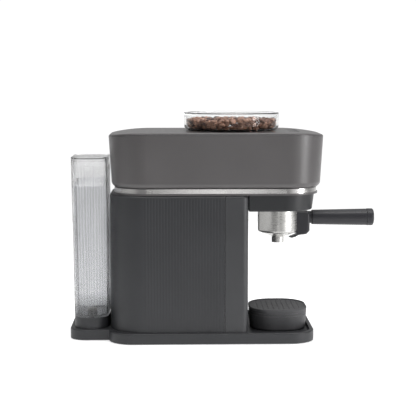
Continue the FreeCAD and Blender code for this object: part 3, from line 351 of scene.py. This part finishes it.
# The cowl is the covers' plastic painted darker: painted shade under the head.
cowl_painted_shade_plastic = moulded_plastic(
    "graphite_cowl_painted_shade", (0.014, 0.015, 0.017), roughness=0.40, grain_mm=0.40, bump=0.05,
    rub_and_sheen=0.3, specular=0.45,
)
finish(["group_cowl"], cowl_painted_shade_plastic)
front_plastic = moulded_plastic(
    "graphite_front_plastic", (0.037, 0.038, 0.041), roughness=0.44, grain_mm=0.35, bump=0.04, rub_and_sheen=0.3,
)
finish(["front_body_cover"], front_plastic)

# ---- Drip tray and its cover --------------------------------------------------------
# A deep tray with a lift-off drained cover, moulded in the same plastic as the base but
# matt and scuffed by cups.
tray_plastic = moulded_plastic(
    "tray_plastic", (0.068, 0.068, 0.072), roughness=0.50, grain_mm=0.5, bump=0.08,
    rub_and_sheen=0.3, dust=0.01, specular=0.4,
)
finish(["drip_tray_box", "drip_tray_cover"], tray_plastic)

# ---- Head shell, top cover, bottom plate and buttons --------------------------------
# The head is the warm grey part of the machine: a thick moulded shell with a soft matt
# paint-like finish and a separate cover let into its top.
head_plastic = moulded_plastic(
    "warm_grey_head_plastic", (0.088, 0.083, 0.084), roughness=0.33, grain_mm=0.35, bump=0.03,
    rub_and_sheen=0.2, dust=0.01, specular=0.55,
)
finish(["head_shell", "head_top_cover", "head_bottom_plate"], head_plastic)
button_plastic = moulded_plastic(
    "button_plastic", (0.070, 0.068, 0.070), roughness=0.30, grain_mm=0.3, bump=0.02, rub_and_sheen=0.3, dust=0.01,
)
finish(["brew_button_near", "brew_button_middle", "brew_button_far"], button_plastic)


# ---- Trim band ----------------------------------------------------------------------
# A strip of stainless steel, brushed along its length before it was bent round the neck
# between the body and the head.
def build_brushed_lines():
    """Long fine scratches: height, a roughness change and a brightness change."""
    group, entry, leave = new_group(
        "brushed_lines",
        [
            ("Colour", "NodeSocketColor", (0.6, 0.6, 0.6, 1)),
            ("Roughness", "NodeSocketFloat", 0.3),
            ("Stretch", "NodeSocketVector", (1.0, 1.0, 1.0)),
        ],
        [("Colour", "NodeSocketColor"), ("Roughness", "NodeSocketFloat"), ("Height", "NodeSocketFloat")],
    )
    place = group.nodes.new("ShaderNodeTexCoord").outputs["Object"]
    stretched = group.nodes.new("ShaderNodeVectorMath")
    stretched.operation = "MULTIPLY"
    group.links.new(place, stretched.inputs[0])
    group.links.new(entry.outputs["Stretch"], stretched.inputs[1])
    lines = noise(group, stretched.outputs["Vector"], 0.25, 5.0, 0.65)
    patches = noise(group, place, 14, 3.0)
    line_tone = remap(group, lines, 0.3, 0.7, 0.88, 1.08)
    patch_tone = remap(group, patches, 0.3, 0.7, 0.96, 1.03)
    factor = math_node(group, "MULTIPLY", line_tone, patch_tone)
    tinted = group.nodes.new("ShaderNodeVectorMath")
    tinted.operation = "SCALE"
    group.links.new(entry.outputs["Colour"], tinted.inputs[0])
    group.links.new(factor, tinted.inputs["Scale"])
    group.links.new(tinted.outputs["Vector"], leave.inputs["Colour"])
    rough = math_node(group, "ADD", entry.outputs["Roughness"], remap(group, lines, 0.3, 0.7, -0.05, 0.09))
    group.links.new(rough, leave.inputs["Roughness"])
    group.links.new(lines, leave.inputs["Height"])
    return group


brushed_lines = build_brushed_lines()


def brushed_steel(name, colour, roughness, stretch, bump):
    """Brushed metal; stretch shrinks the coordinate that the scratches run along."""
    material, tree, shader = plain_material(name)
    lines = tree.nodes.new("ShaderNodeGroup")
    lines.node_tree = brushed_lines
    lines.inputs["Colour"].default_value = (*colour, 1)
    lines.inputs["Roughness"].default_value = roughness
    lines.inputs["Stretch"].default_value = stretch
    relief = tree.nodes.new("ShaderNodeBump")
    relief.inputs["Strength"].default_value = 0.35
    relief.inputs["Distance"].default_value = bump / 1000.0
    shader.inputs["Metallic"].default_value = 1.0
    shader.inputs["Anisotropic"].default_value = 0.5
    tree.links.new(lines.outputs["Colour"], shader.inputs["Base Color"])
    tree.links.new(lines.outputs["Roughness"], shader.inputs["Roughness"])
    tree.links.new(lines.outputs["Height"], relief.inputs["Height"])
    tree.links.new(relief.outputs["Normal"], shader.inputs["Normal"])
    return material


band_steel = brushed_steel(
    "band_steel", (0.60, 0.59, 0.58), roughness=0.15, stretch=(0.02, 0.02, 1.0), bump=0.012,
)
finish(["trim_band"], band_steel)

# ---- Portafilter cup, basket, spout and collar --------------------------------------
# Turned stainless steel: the tool leaves fine rings round the cup's axis. The basket drops
# into the cup, the spout fits its foot, and its two lugs lie on the collar's ledges.
turned_steel = brushed_steel(
    "turned_steel", (0.56, 0.555, 0.54), roughness=0.26, stretch=(0.03, 0.03, 1.0), bump=0.012,
)
finish([
    "portafilter_cup", "coffee_spout", "filter_basket", "shower_screen", "bayonet_collar",
], turned_steel)

# ---- Portafilter bracket, handle and end cap ----------------------------------------
# Glass-filled black nylon: hard, satin, slightly polished by the hand. A long bolt runs
# from the cup through the bracket and the grip into the end cap.
grip_plastic = moulded_plastic(
    "black_grip_plastic", (0.026, 0.026, 0.030), roughness=0.36, grain_mm=0.5, bump=0.06,
    rub_and_sheen=0.18, dust=0.01, specular=0.35,
)
finish(["portafilter_bracket", "handle_grip", "handle_end_cap", "cord_gland"], grip_plastic)


# ---- Bean hopper and its lid --------------------------------------------------------
# Injection-moulded clear copolyester, 2.4 mm thick, polished, with a slight grey cast.
# Its throat drops through the head into the grinder, and the lid rests loose in the rim.
def clear_plastic(name, colour, roughness, ior, ripple_mm):
    """Clear moulded plastic with faint waviness and fine wiping scratches."""
    material, tree, shader = plain_material(name)
    place = tree.nodes.new("ShaderNodeTexCoord").outputs["Object"]
    ripple = noise(tree, place, ripple_mm, 2.0)
    smear = noise(tree, place, 9, 5.0, 0.7)
    relief = tree.nodes.new("ShaderNodeBump")
    relief.inputs["Strength"].default_value = 0.15
    relief.inputs["Distance"].default_value = 0.0002
    tree.links.new(ripple, relief.inputs["Height"])
    tree.links.new(relief.outputs["Normal"], shader.inputs["Normal"])
    tree.links.new(remap(tree, smear, 0.35, 0.75, roughness, roughness + 0.06), shader.inputs["Roughness"])
    shader.inputs["Base Color"].default_value = (*colour, 1)
    shader.inputs["Transmission Weight"].default_value = 1.0
    shader.inputs["IOR"].default_value = ior
    return material


hopper_clear = clear_plastic(
    "hopper_clear_plastic", (0.97, 0.975, 0.975), roughness=0.03, ior=1.22, ripple_mm=40,
)
finish(["bean_hopper", "hopper_lid"], hopper_clear)


def mesh_piece(name, vertices, faces, material, body):
    """Smooth-shaded mesh object that rides on a body of the frame."""
    mesh = bpy.data.meshes.new(name)
    mesh.from_pydata(vertices, [], faces)
    mesh.validate()
    mesh.materials.append(material)
    mesh.polygons.foreach_set("use_smooth", [True] * len(mesh.polygons))
    piece = bpy.data.objects.new(name, mesh)
    scene.collection.objects.link(piece)
    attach(piece, body)
    return piece


# ---- Coffee beans -------------------------------------------------------------------
# Roasted beans fill the hopper to just below its rim. Each is a half egg
# with a furrow along its flat side; they lie in rings, turned every way.
bean_length = 0.0112
bean_width = 0.0082
bean_height = 0.0058
bean_layers = 3
bean_layer_step = 0.0046
first_layer_height = 0.0036
bean_wall_gap = 0.0058
floor_corner_gap = 0.003
bean_pitch = 0.0094
bean_ring_step = 0.0078
hopper_wall = 0.0024
hopper_depth = 0.0219
bean_rng = random.Random(41)

hopper_low, hopper_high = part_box("bean_hopper")
hopper_x = (hopper_low.x + hopper_high.x) / 2
hopper_inner_radius = (hopper_high.x - hopper_low.x) / 2 - hopper_wall
hopper_floor = hopper_high.z - hopper_depth + hopper_wall


def bean_form():
    """One bean: points and faces about its own centre, flat side down."""
    rows, columns = 9, 14
    points = []
    for row in range(rows + 1):
        polar = math.pi * row / rows
        for column in range(columns):
            turn = 2 * math.pi * column / columns
            x = math.cos(polar)
            y = math.sin(polar) * math.cos(turn)
            z = math.sin(polar) * math.sin(turn)
            if z < 0:
                furrow = math.exp(-(y / 0.16) ** 2) * (1 - x * x)
                z = 0.45 * z + 0.5 * furrow * abs(z)
            narrowing = 1 - 0.12 * x
            points.append(Vector((
                x * bean_length / 2,
                y * bean_width / 2 * narrowing,
                z * bean_height / 2 * 1.25,
            )))
    faces = []
    for row in range(rows):
        for column in range(columns):
            after = (column + 1) % columns
            near, far = row * columns, (row + 1) * columns
            faces.append((near + column, near + after, far + after, far + column))
    return points, faces


def pile_of_beans():
    """Rings of beans: the top layer is full, the lower ones only show at the clear wall."""
    points, faces = bean_form()
    all_points, all_faces = [], []
    for layer in range(bean_layers):
        z = hopper_floor + first_layer_height + layer * bean_layer_step
        radius = hopper_inner_radius - bean_wall_gap - (floor_corner_gap if layer == 0 else 0.0)
        ring = 0
        while radius > 0.004:
            count = max(1, int(2 * math.pi * radius / bean_pitch))
            if layer == bean_layers - 1 or ring < 2:
                offset = bean_rng.random() * math.tau
                for index in range(count):
                    angle = offset + math.tau * (index + bean_rng.uniform(-0.18, 0.18)) / count
                    centre = Vector((
                        hopper_x + radius * math.cos(angle),
                        radius * math.sin(angle),
                        z + bean_rng.uniform(-0.0012, 0.0012),
                    ))
                    lean = 1.3 if ring == 0 else 0.7
                    tilt = Matrix.Rotation(bean_rng.uniform(-lean, lean), 3, "X")
                    roll_angle = bean_rng.choice((0, math.pi)) + bean_rng.uniform(-0.6, 0.6)
                    roll = Matrix.Rotation(roll_angle, 3, "Y")
                    spin = Matrix.Rotation(bean_rng.uniform(0, math.tau), 3, "Z")
                    size = bean_rng.uniform(0.9, 1.06)
                    start = len(all_points)
                    turned = spin @ tilt @ roll
                    all_points += [centre + turned @ (p * size) for p in points]
                    all_faces += [tuple(start + corner for corner in face) for face in faces]
            radius -= bean_ring_step
            ring += 1
    return all_points, all_faces


def roasted_bean():
    """Dry brown skin; every bean has its own roast."""
    material, tree, shader = plain_material("roasted_bean")
    geometry = tree.nodes.new("ShaderNodeNewGeometry")
    place = tree.nodes.new("ShaderNodeTexCoord").outputs["Object"]
    skin = noise(tree, place, 2.2, 4.0)
    dark_roast = (0.10, 0.044, 0.028, 1)
    light_roast = (0.74, 0.42, 0.30, 1)
    roast = mix_colour(tree, geometry.outputs["Random Per Island"], dark_roast, light_roast)
    shaded = mix_colour(tree, remap(tree, skin, 0.35, 0.7, 0.0, 0.45), roast, (0.045, 0.018, 0.011, 1))
    tree.links.new(shaded, shader.inputs["Base Color"])
    tree.links.new(remap(tree, skin, 0.3, 0.7, 0.42, 0.62), shader.inputs["Roughness"])
    relief = tree.nodes.new("ShaderNodeBump")
    relief.inputs["Strength"].default_value = 0.5
    relief.inputs["Distance"].default_value = 0.0003
    tree.links.new(skin, relief.inputs["Height"])
    tree.links.new(relief.outputs["Normal"], shader.inputs["Normal"])
    return material


bean_points, bean_faces = pile_of_beans()
mesh_piece("coffee_beans", bean_points, bean_faces, roasted_bean(), "casing")

# ---- Water tank ---------------------------------------------------------------------
# Clear moulded tank with shallow upright flutes all the way round, corners included.
# It narrows towards its foot. The mesh stands for the plain tank of the frame.
tank_low, tank_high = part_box("water_tank")
flute_pitch = 0.0047
flute_depth = 0.0007
flute_steps = 6
tank_wall = 0.0022
tank_corner = 0.024
tank_rear_lean = 0.003
tank_side_lean = 0.0015
water_top = 0.2362


def tank_outline(rear, front, half_width, corner, flute):
    """Plan points round the tank; flute is how deep its upright grooves are."""
    centres = [
        (front - corner, half_width - corner, 0),
        (rear + corner, half_width - corner, 90),
        (rear + corner, -half_width + corner, 180),
        (front - corner, -half_width + corner, 270),
    ]
    points = []
    for index, (x, y, start) in enumerate(centres):
        corner_steps = corner_flutes * flute_steps
        for step in range(corner_steps):
            angle = math.radians(start + 90 * step / corner_steps)
            radius = corner - flute * (0.5 - 0.5 * math.cos(math.tau * step / flute_steps))
            points.append(Vector((x + radius * math.cos(angle), y + radius * math.sin(angle))))
        next_x, next_y, next_start = centres[(index + 1) % 4]
        angle = math.radians(next_start)
        outward = Vector((math.cos(angle), math.sin(angle)))
        leave = Vector((x, y)) + outward * corner
        meet = Vector((next_x, next_y)) + outward * corner
        run_steps = tank_flutes[index] * flute_steps
        for step in range(run_steps):
            groove = flute * (0.5 - 0.5 * math.cos(math.tau * step / flute_steps))
            points.append(leave + (meet - leave) * (step / run_steps) - outward * groove)
    return points


tank_half_width = (tank_high.y - tank_low.y) / 2
side_run = tank_high.x - tank_low.x - 2 * tank_corner
end_run = 2 * (tank_half_width - tank_corner)
side_flutes = max(2, round(side_run / flute_pitch))
end_flutes = round(end_run / flute_pitch)
tank_flutes = [side_flutes, end_flutes, side_flutes, end_flutes]
corner_flutes = round(tank_corner * math.pi / 2 / flute_pitch)


def tank_level(height_share, inset, flute, z):
    """Points round the tank at one height; height_share is 0 at the foot and 1 at the rim."""
    rear = tank_low.x + tank_rear_lean * (1 - height_share) + inset
    half_width = tank_half_width - tank_side_lean * (1 - height_share) - inset
    outline = tank_outline(rear, tank_high.x - inset, half_width, tank_corner - inset, flute)
    return [Vector((p.x, p.y, z)) for p in outline]


def loft(levels, cap_first, cap_last):
    """Mesh through a list of point rings; either end may be closed."""
    points = [p for ring in levels for p in ring]
    size = len(levels[0])
    faces = []
    for row in range(len(levels) - 1):
        for column in range(size):
            after = (column + 1) % size
            near, far = row * size, (row + 1) * size
            faces.append((near + column, near + after, far + after, far + column))
    if cap_first:
        faces.append(tuple(reversed(range(size))))
    if cap_last:
        faces.append(tuple(range(len(points) - size, len(points))))
    return points, faces


tank_height = tank_high.z - tank_low.z
tank_levels = [
    tank_level(0.0, 0.0012, 0.0, tank_low.z),
    tank_level(0.005, 0.0, 0.0, tank_low.z + 0.0012),
    tank_level(0.02, 0.0, 0.0, tank_low.z + 0.004),
    tank_level(0.04, 0.0, flute_depth, tank_low.z + 0.008),
    tank_level(0.95, 0.0, flute_depth, tank_high.z - 0.014),
    tank_level(0.97, 0.0, 0.0, tank_high.z - 0.009),
    tank_level(1.0, 0.0, 0.0, tank_high.z - 0.0004),
    tank_level(1.0, 0.0004, 0.0, tank_high.z),
    tank_level(1.0, tank_wall, 0.0, tank_high.z),
    tank_level(0.5, tank_wall, 0.0, (tank_low.z + tank_high.z) / 2),
    tank_level(0.02, tank_wall, 0.0, tank_low.z + 0.005),
    tank_level(0.0, tank_wall + 0.002, 0.0, tank_low.z + tank_wall),
]
tank_points, tank_faces = loft(tank_levels, True, True)


def tank_plastic():
    """Slightly milky clear plastic; painted shade darkens the flute grooves and the wall below the water
    line, and the wall is darker towards the foot.
    """
    material, tree, shader = plain_material("tank_clear_plastic")
    place = tree.nodes.new("ShaderNodeTexCoord").outputs["Object"]
    flute_painted_shade = tree.nodes.new("ShaderNodeAttribute")
    flute_painted_shade.attribute_name = "flute_painted_shade"
    parts = tree.nodes.new("ShaderNodeSeparateXYZ")
    tree.links.new(place, parts.inputs[0])
    streaks = tree.nodes.new("ShaderNodeVectorMath")
    streaks.operation = "MULTIPLY"
    streaks.inputs[1].default_value = (1.0, 1.0, 0.03)
    tree.links.new(place, streaks.inputs[0])
    streak = noise(tree, streaks.outputs["Vector"], 3.0, 3.0)
    groove_strength = remap(tree, streak, 0.3, 0.7, 0.35, 1.0)
    # Painted shade in the flute grooves, standing for the dark lines that refraction draws there.
    groove = math_node(tree, "MULTIPLY", flute_painted_shade.outputs["Fac"], groove_strength)
    # Painted shade below the water line: ridges and grooves are darker there than above it.
    below_water_painted_shade = remap(tree, parts.outputs["Z"], water_top - 0.0005, water_top + 0.0005, 1.0, 0.0)
    ridge_tone = mix_colour(tree, below_water_painted_shade, (0.86, 0.86, 0.865, 1), (0.80, 0.802, 0.81, 1))
    groove_painted_shade_tone = mix_colour(tree, below_water_painted_shade, (0.70, 0.70, 0.705, 1), (0.52, 0.522, 0.53, 1))
    wall_colour = mix_colour(tree, groove, ridge_tone, groove_painted_shade_tone)
    # Darker towards the foot, from 36 mm up to 56 mm, in streaks.
    depth = remap(tree, parts.outputs["Z"], 0.036, 0.056, 1.0, 0.0)
    foot = math_node(tree, "MULTIPLY", depth, remap(tree, streak, 0.35, 0.65, 0.75, 1.0))
    tree.links.new(mix_colour(tree, foot, wall_colour, (0.30, 0.31, 0.32, 1)), shader.inputs["Base Color"])
    tree.links.new(remap(tree, streak, 0.3, 0.7, 0.20, 0.26), shader.inputs["Roughness"])
    shader.inputs["Transmission Weight"].default_value = 0.90
    shader.inputs["IOR"].default_value = 1.06
    shader.inputs["Coat Weight"].default_value = 0.35
    shader.inputs["Coat Roughness"].default_value = 0.08
    shader.inputs["Coat IOR"].default_value = 1.5
    return material


tank_shell = mesh_piece("fluted_tank", tank_points, tank_faces, tank_plastic(), "tank")
# Painted shade depth per point: 1 at a groove's bottom, 0 on the ridges and on the unfluted rings.
shade = tank_shell.data.attributes.new("flute_painted_shade", "FLOAT", "POINT")
plain_ring = tank_level(1.0, 0.0, 0.0, 0.0)
fluted_ring = tank_level(1.0, 0.0, flute_depth, 0.0)
groove_depths = [(a - b).length / flute_depth for a, b in zip(plain_ring, fluted_ring)]
for level in range(len(tank_levels)):
    fluted = level in (3, 4)
    for column, depth in enumerate(groove_depths):
        shade.data[level * len(groove_depths) + column].value = depth if fluted else 0.0
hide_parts("water_tank")

lid_clear = clear_plastic(
    "tank_lid_plastic", (0.95, 0.95, 0.95), roughness=0.14, ior=1.08, ripple_mm=15,
)
finish(["tank_lid"], lid_clear)

# ---- Water --------------------------------------------------------------------------
# Tap water up to the level line, a hair inside the tank's walls. Its surface creeps up
# a little where it meets the plastic.
water_gap = 0.0002
water_material, water_tree, water_shader = plain_material("tap_water")
water_shader.inputs["Base Color"].default_value = (0.88, 0.89, 0.90, 1)
water_shader.inputs["Roughness"].default_value = 0.02
water_shader.inputs["Transmission Weight"].default_value = 1.0
water_shader.inputs["IOR"].default_value = 1.04
water_place = water_tree.nodes.new("ShaderNodeTexCoord").outputs["Object"]
water_ripple = noise(water_tree, water_place, 30, 2.0)
water_relief = water_tree.nodes.new("ShaderNodeBump")
water_relief.inputs["Strength"].default_value = 0.03
water_relief.inputs["Distance"].default_value = 0.0002
water_tree.links.new(water_ripple, water_relief.inputs["Height"])
water_tree.links.new(water_relief.outputs["Normal"], water_shader.inputs["Normal"])


def water_level(z, extra):
    """Points round the water at one height, inside the tank wall by the gap and extra."""
    share = (z - tank_low.z) / tank_height
    return tank_level(share, tank_wall + water_gap + extra, 0.0, z)


water_points, water_faces = loft([
    water_level(tank_low.z + tank_wall + 0.0004, 0.004),
    water_level(tank_low.z + tank_wall + 0.004, 0.0003),
    water_level(water_top - 0.001, 0.0),
    water_level(water_top + 0.0006, 0.0),
    water_level(water_top, 0.0012),
], True, True)
mesh_piece("tank_water", water_points, water_faces, water_material, "tank")

# ---- Rubber parts -------------------------------------------------------------------
# Feet, gasket, seal, hose and pump mounts: moulded black rubber with a dull bloom. Only
# the feet can be seen, under the base.
rubber = moulded_plastic(
    "black_rubber", (0.018, 0.018, 0.018), roughness=0.62, grain_mm=0.8, bump=0.08, rub_and_sheen=0.05, dust=0.12,
)
finish(["rubber_feet", "group_gasket", "piston_seal", "pump_mounts", "brew_hose"], rubber)

# ---- Frame, screws, shafts and motors -----------------------------------------------
# Rolled and turned steel that stays inside the covers: the folded frame, the screws and
# the handle's bolt, the shafts, and the cases of the motors.
rolled_steel = brushed_steel(
    "rolled_steel", (0.45, 0.45, 0.46), roughness=0.38, stretch=(1.0, 0.05, 0.05), bump=0.02,
)
finish([
    "chassis_frame", "base_screws", "handle_bolt", "burr_shaft", "motor_pinion", "shaft_bearing",
    "piston_spindle", "grinder_motor", "spindle_motor",
], rolled_steel)

# ---- Tank valve spring --------------------------------------------------------------
# Short compression spring of bright steel wire round the stem of the tank's foot valve.
# Its top bears on the tank's foot and its lower end is pushed up by the stem's collar.
spring_low, spring_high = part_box("tank_valve_spring")
spring_middle = (spring_low + spring_high) / 2
wire_radius = 0.00045
coil_radius = (spring_high.x - spring_low.x) / 2 - wire_radius
wire_sides = 8
coil_turns = 4.1
coil_steps = round(coil_turns * 24)
wire_rings = []
for step in range(coil_steps + 1):
    share = step / coil_steps
    angle = math.tau * coil_turns * share
    height = spring_low.z + wire_radius + share * (spring_high.z - spring_low.z - 2 * wire_radius)
    ring = []
    for side in range(wire_sides):
        turn = math.tau * side / wire_sides
        reach = coil_radius + wire_radius * math.cos(turn)
        ring.append(Vector((
            spring_middle.x + reach * math.cos(angle),
            spring_middle.y + reach * math.sin(angle),
            height + wire_radius * math.sin(turn),
        )))
    wire_rings.append(ring)
spring_points, spring_faces = loft(wire_rings, True, True)
valve_spring = mesh_piece("valve_coil_spring", spring_points, spring_faces, rolled_steel, "tank")
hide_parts("tank_valve_spring")
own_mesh(valve_spring)

# ---- Grinding burrs -----------------------------------------------------------------
# Hardened, ground steel: darker than the frame, with fine marks round the axis. The ring
# sits in the adjusting ring and a nut holds the cone on the drive shaft.
burr_steel = brushed_steel(
    "burr_steel", (0.33, 0.33, 0.35), roughness=0.32, stretch=(0.1, 0.1, 1.0), bump=0.02,
)
finish(["ring_burr", "cone_burr"], burr_steel)

# ---- Inner mouldings ----------------------------------------------------------------
# Natural nylon and acetal of the grinder, the brew cylinder, the pump and the tubes,
# moulded without pigment. The dock's socket and the tank's valve are the only ones in view.
natural_nylon = moulded_plastic(
    "natural_nylon", (0.52, 0.50, 0.45), roughness=0.45, grain_mm=0.6, bump=0.05, rub_and_sheen=0.0, dust=0.05,
)
finish([
    "grinder_housing", "burr_adjust_ring", "coffee_chute", "brew_cylinder", "brew_piston", "tank_socket",
    "tank_valve_plunger", "burr_gear", "suction_tube", "pressure_tube", "brew_tube", "pump",
], natural_nylon)


# ---- Thermoblock and circuit boards -------------------------------------------------
# Sand-cast aluminium heater with cooling ribs, and green lacquered glass-fibre boards
# with plain blocks for the parts on them.
def cast_aluminium():
    """Sand-cast metal with a pebbled skin."""
    material, tree, shader = plain_material("cast_aluminium")
    place = tree.nodes.new("ShaderNodeTexCoord").outputs["Object"]
    sand = noise(tree, place, 1.1, 4.0)
    shader.inputs["Metallic"].default_value = 1.0
    sand_colour = mix_colour(tree, sand, (0.50, 0.50, 0.51, 1), (0.72, 0.72, 0.73, 1))
    tree.links.new(sand_colour, shader.inputs["Base Color"])
    tree.links.new(remap(tree, sand, 0.3, 0.7, 0.42, 0.6), shader.inputs["Roughness"])
    relief = tree.nodes.new("ShaderNodeBump")
    relief.inputs["Strength"].default_value = 0.7
    relief.inputs["Distance"].default_value = 0.0002
    tree.links.new(sand, relief.inputs["Height"])
    tree.links.new(relief.outputs["Normal"], shader.inputs["Normal"])
    return material


def board_lacquer():
    """Green board lacquer over a lattice of copper tracks."""
    material, tree, shader = plain_material("board_lacquer")
    place = tree.nodes.new("ShaderNodeTexCoord").outputs["Object"]
    tracks = tree.nodes.new("ShaderNodeTexBrick")
    tracks.inputs["Scale"].default_value = 120.0
    tracks.inputs["Color1"].default_value = (0.02, 0.12, 0.05, 1)
    tracks.inputs["Color2"].default_value = (0.03, 0.16, 0.07, 1)
    tracks.inputs["Mortar"].default_value = (0.10, 0.26, 0.12, 1)
    tree.links.new(place, tracks.inputs["Vector"])
    tree.links.new(tracks.outputs["Color"], shader.inputs["Base Color"])
    mottle = noise(tree, place, 4, 3.0)
    tree.links.new(remap(tree, mottle, 0.3, 0.7, 0.2, 0.35), shader.inputs["Roughness"])
    return material


finish(["thermoblock"], cast_aluminium())
finish(["control_board", "button_board"], board_lacquer())
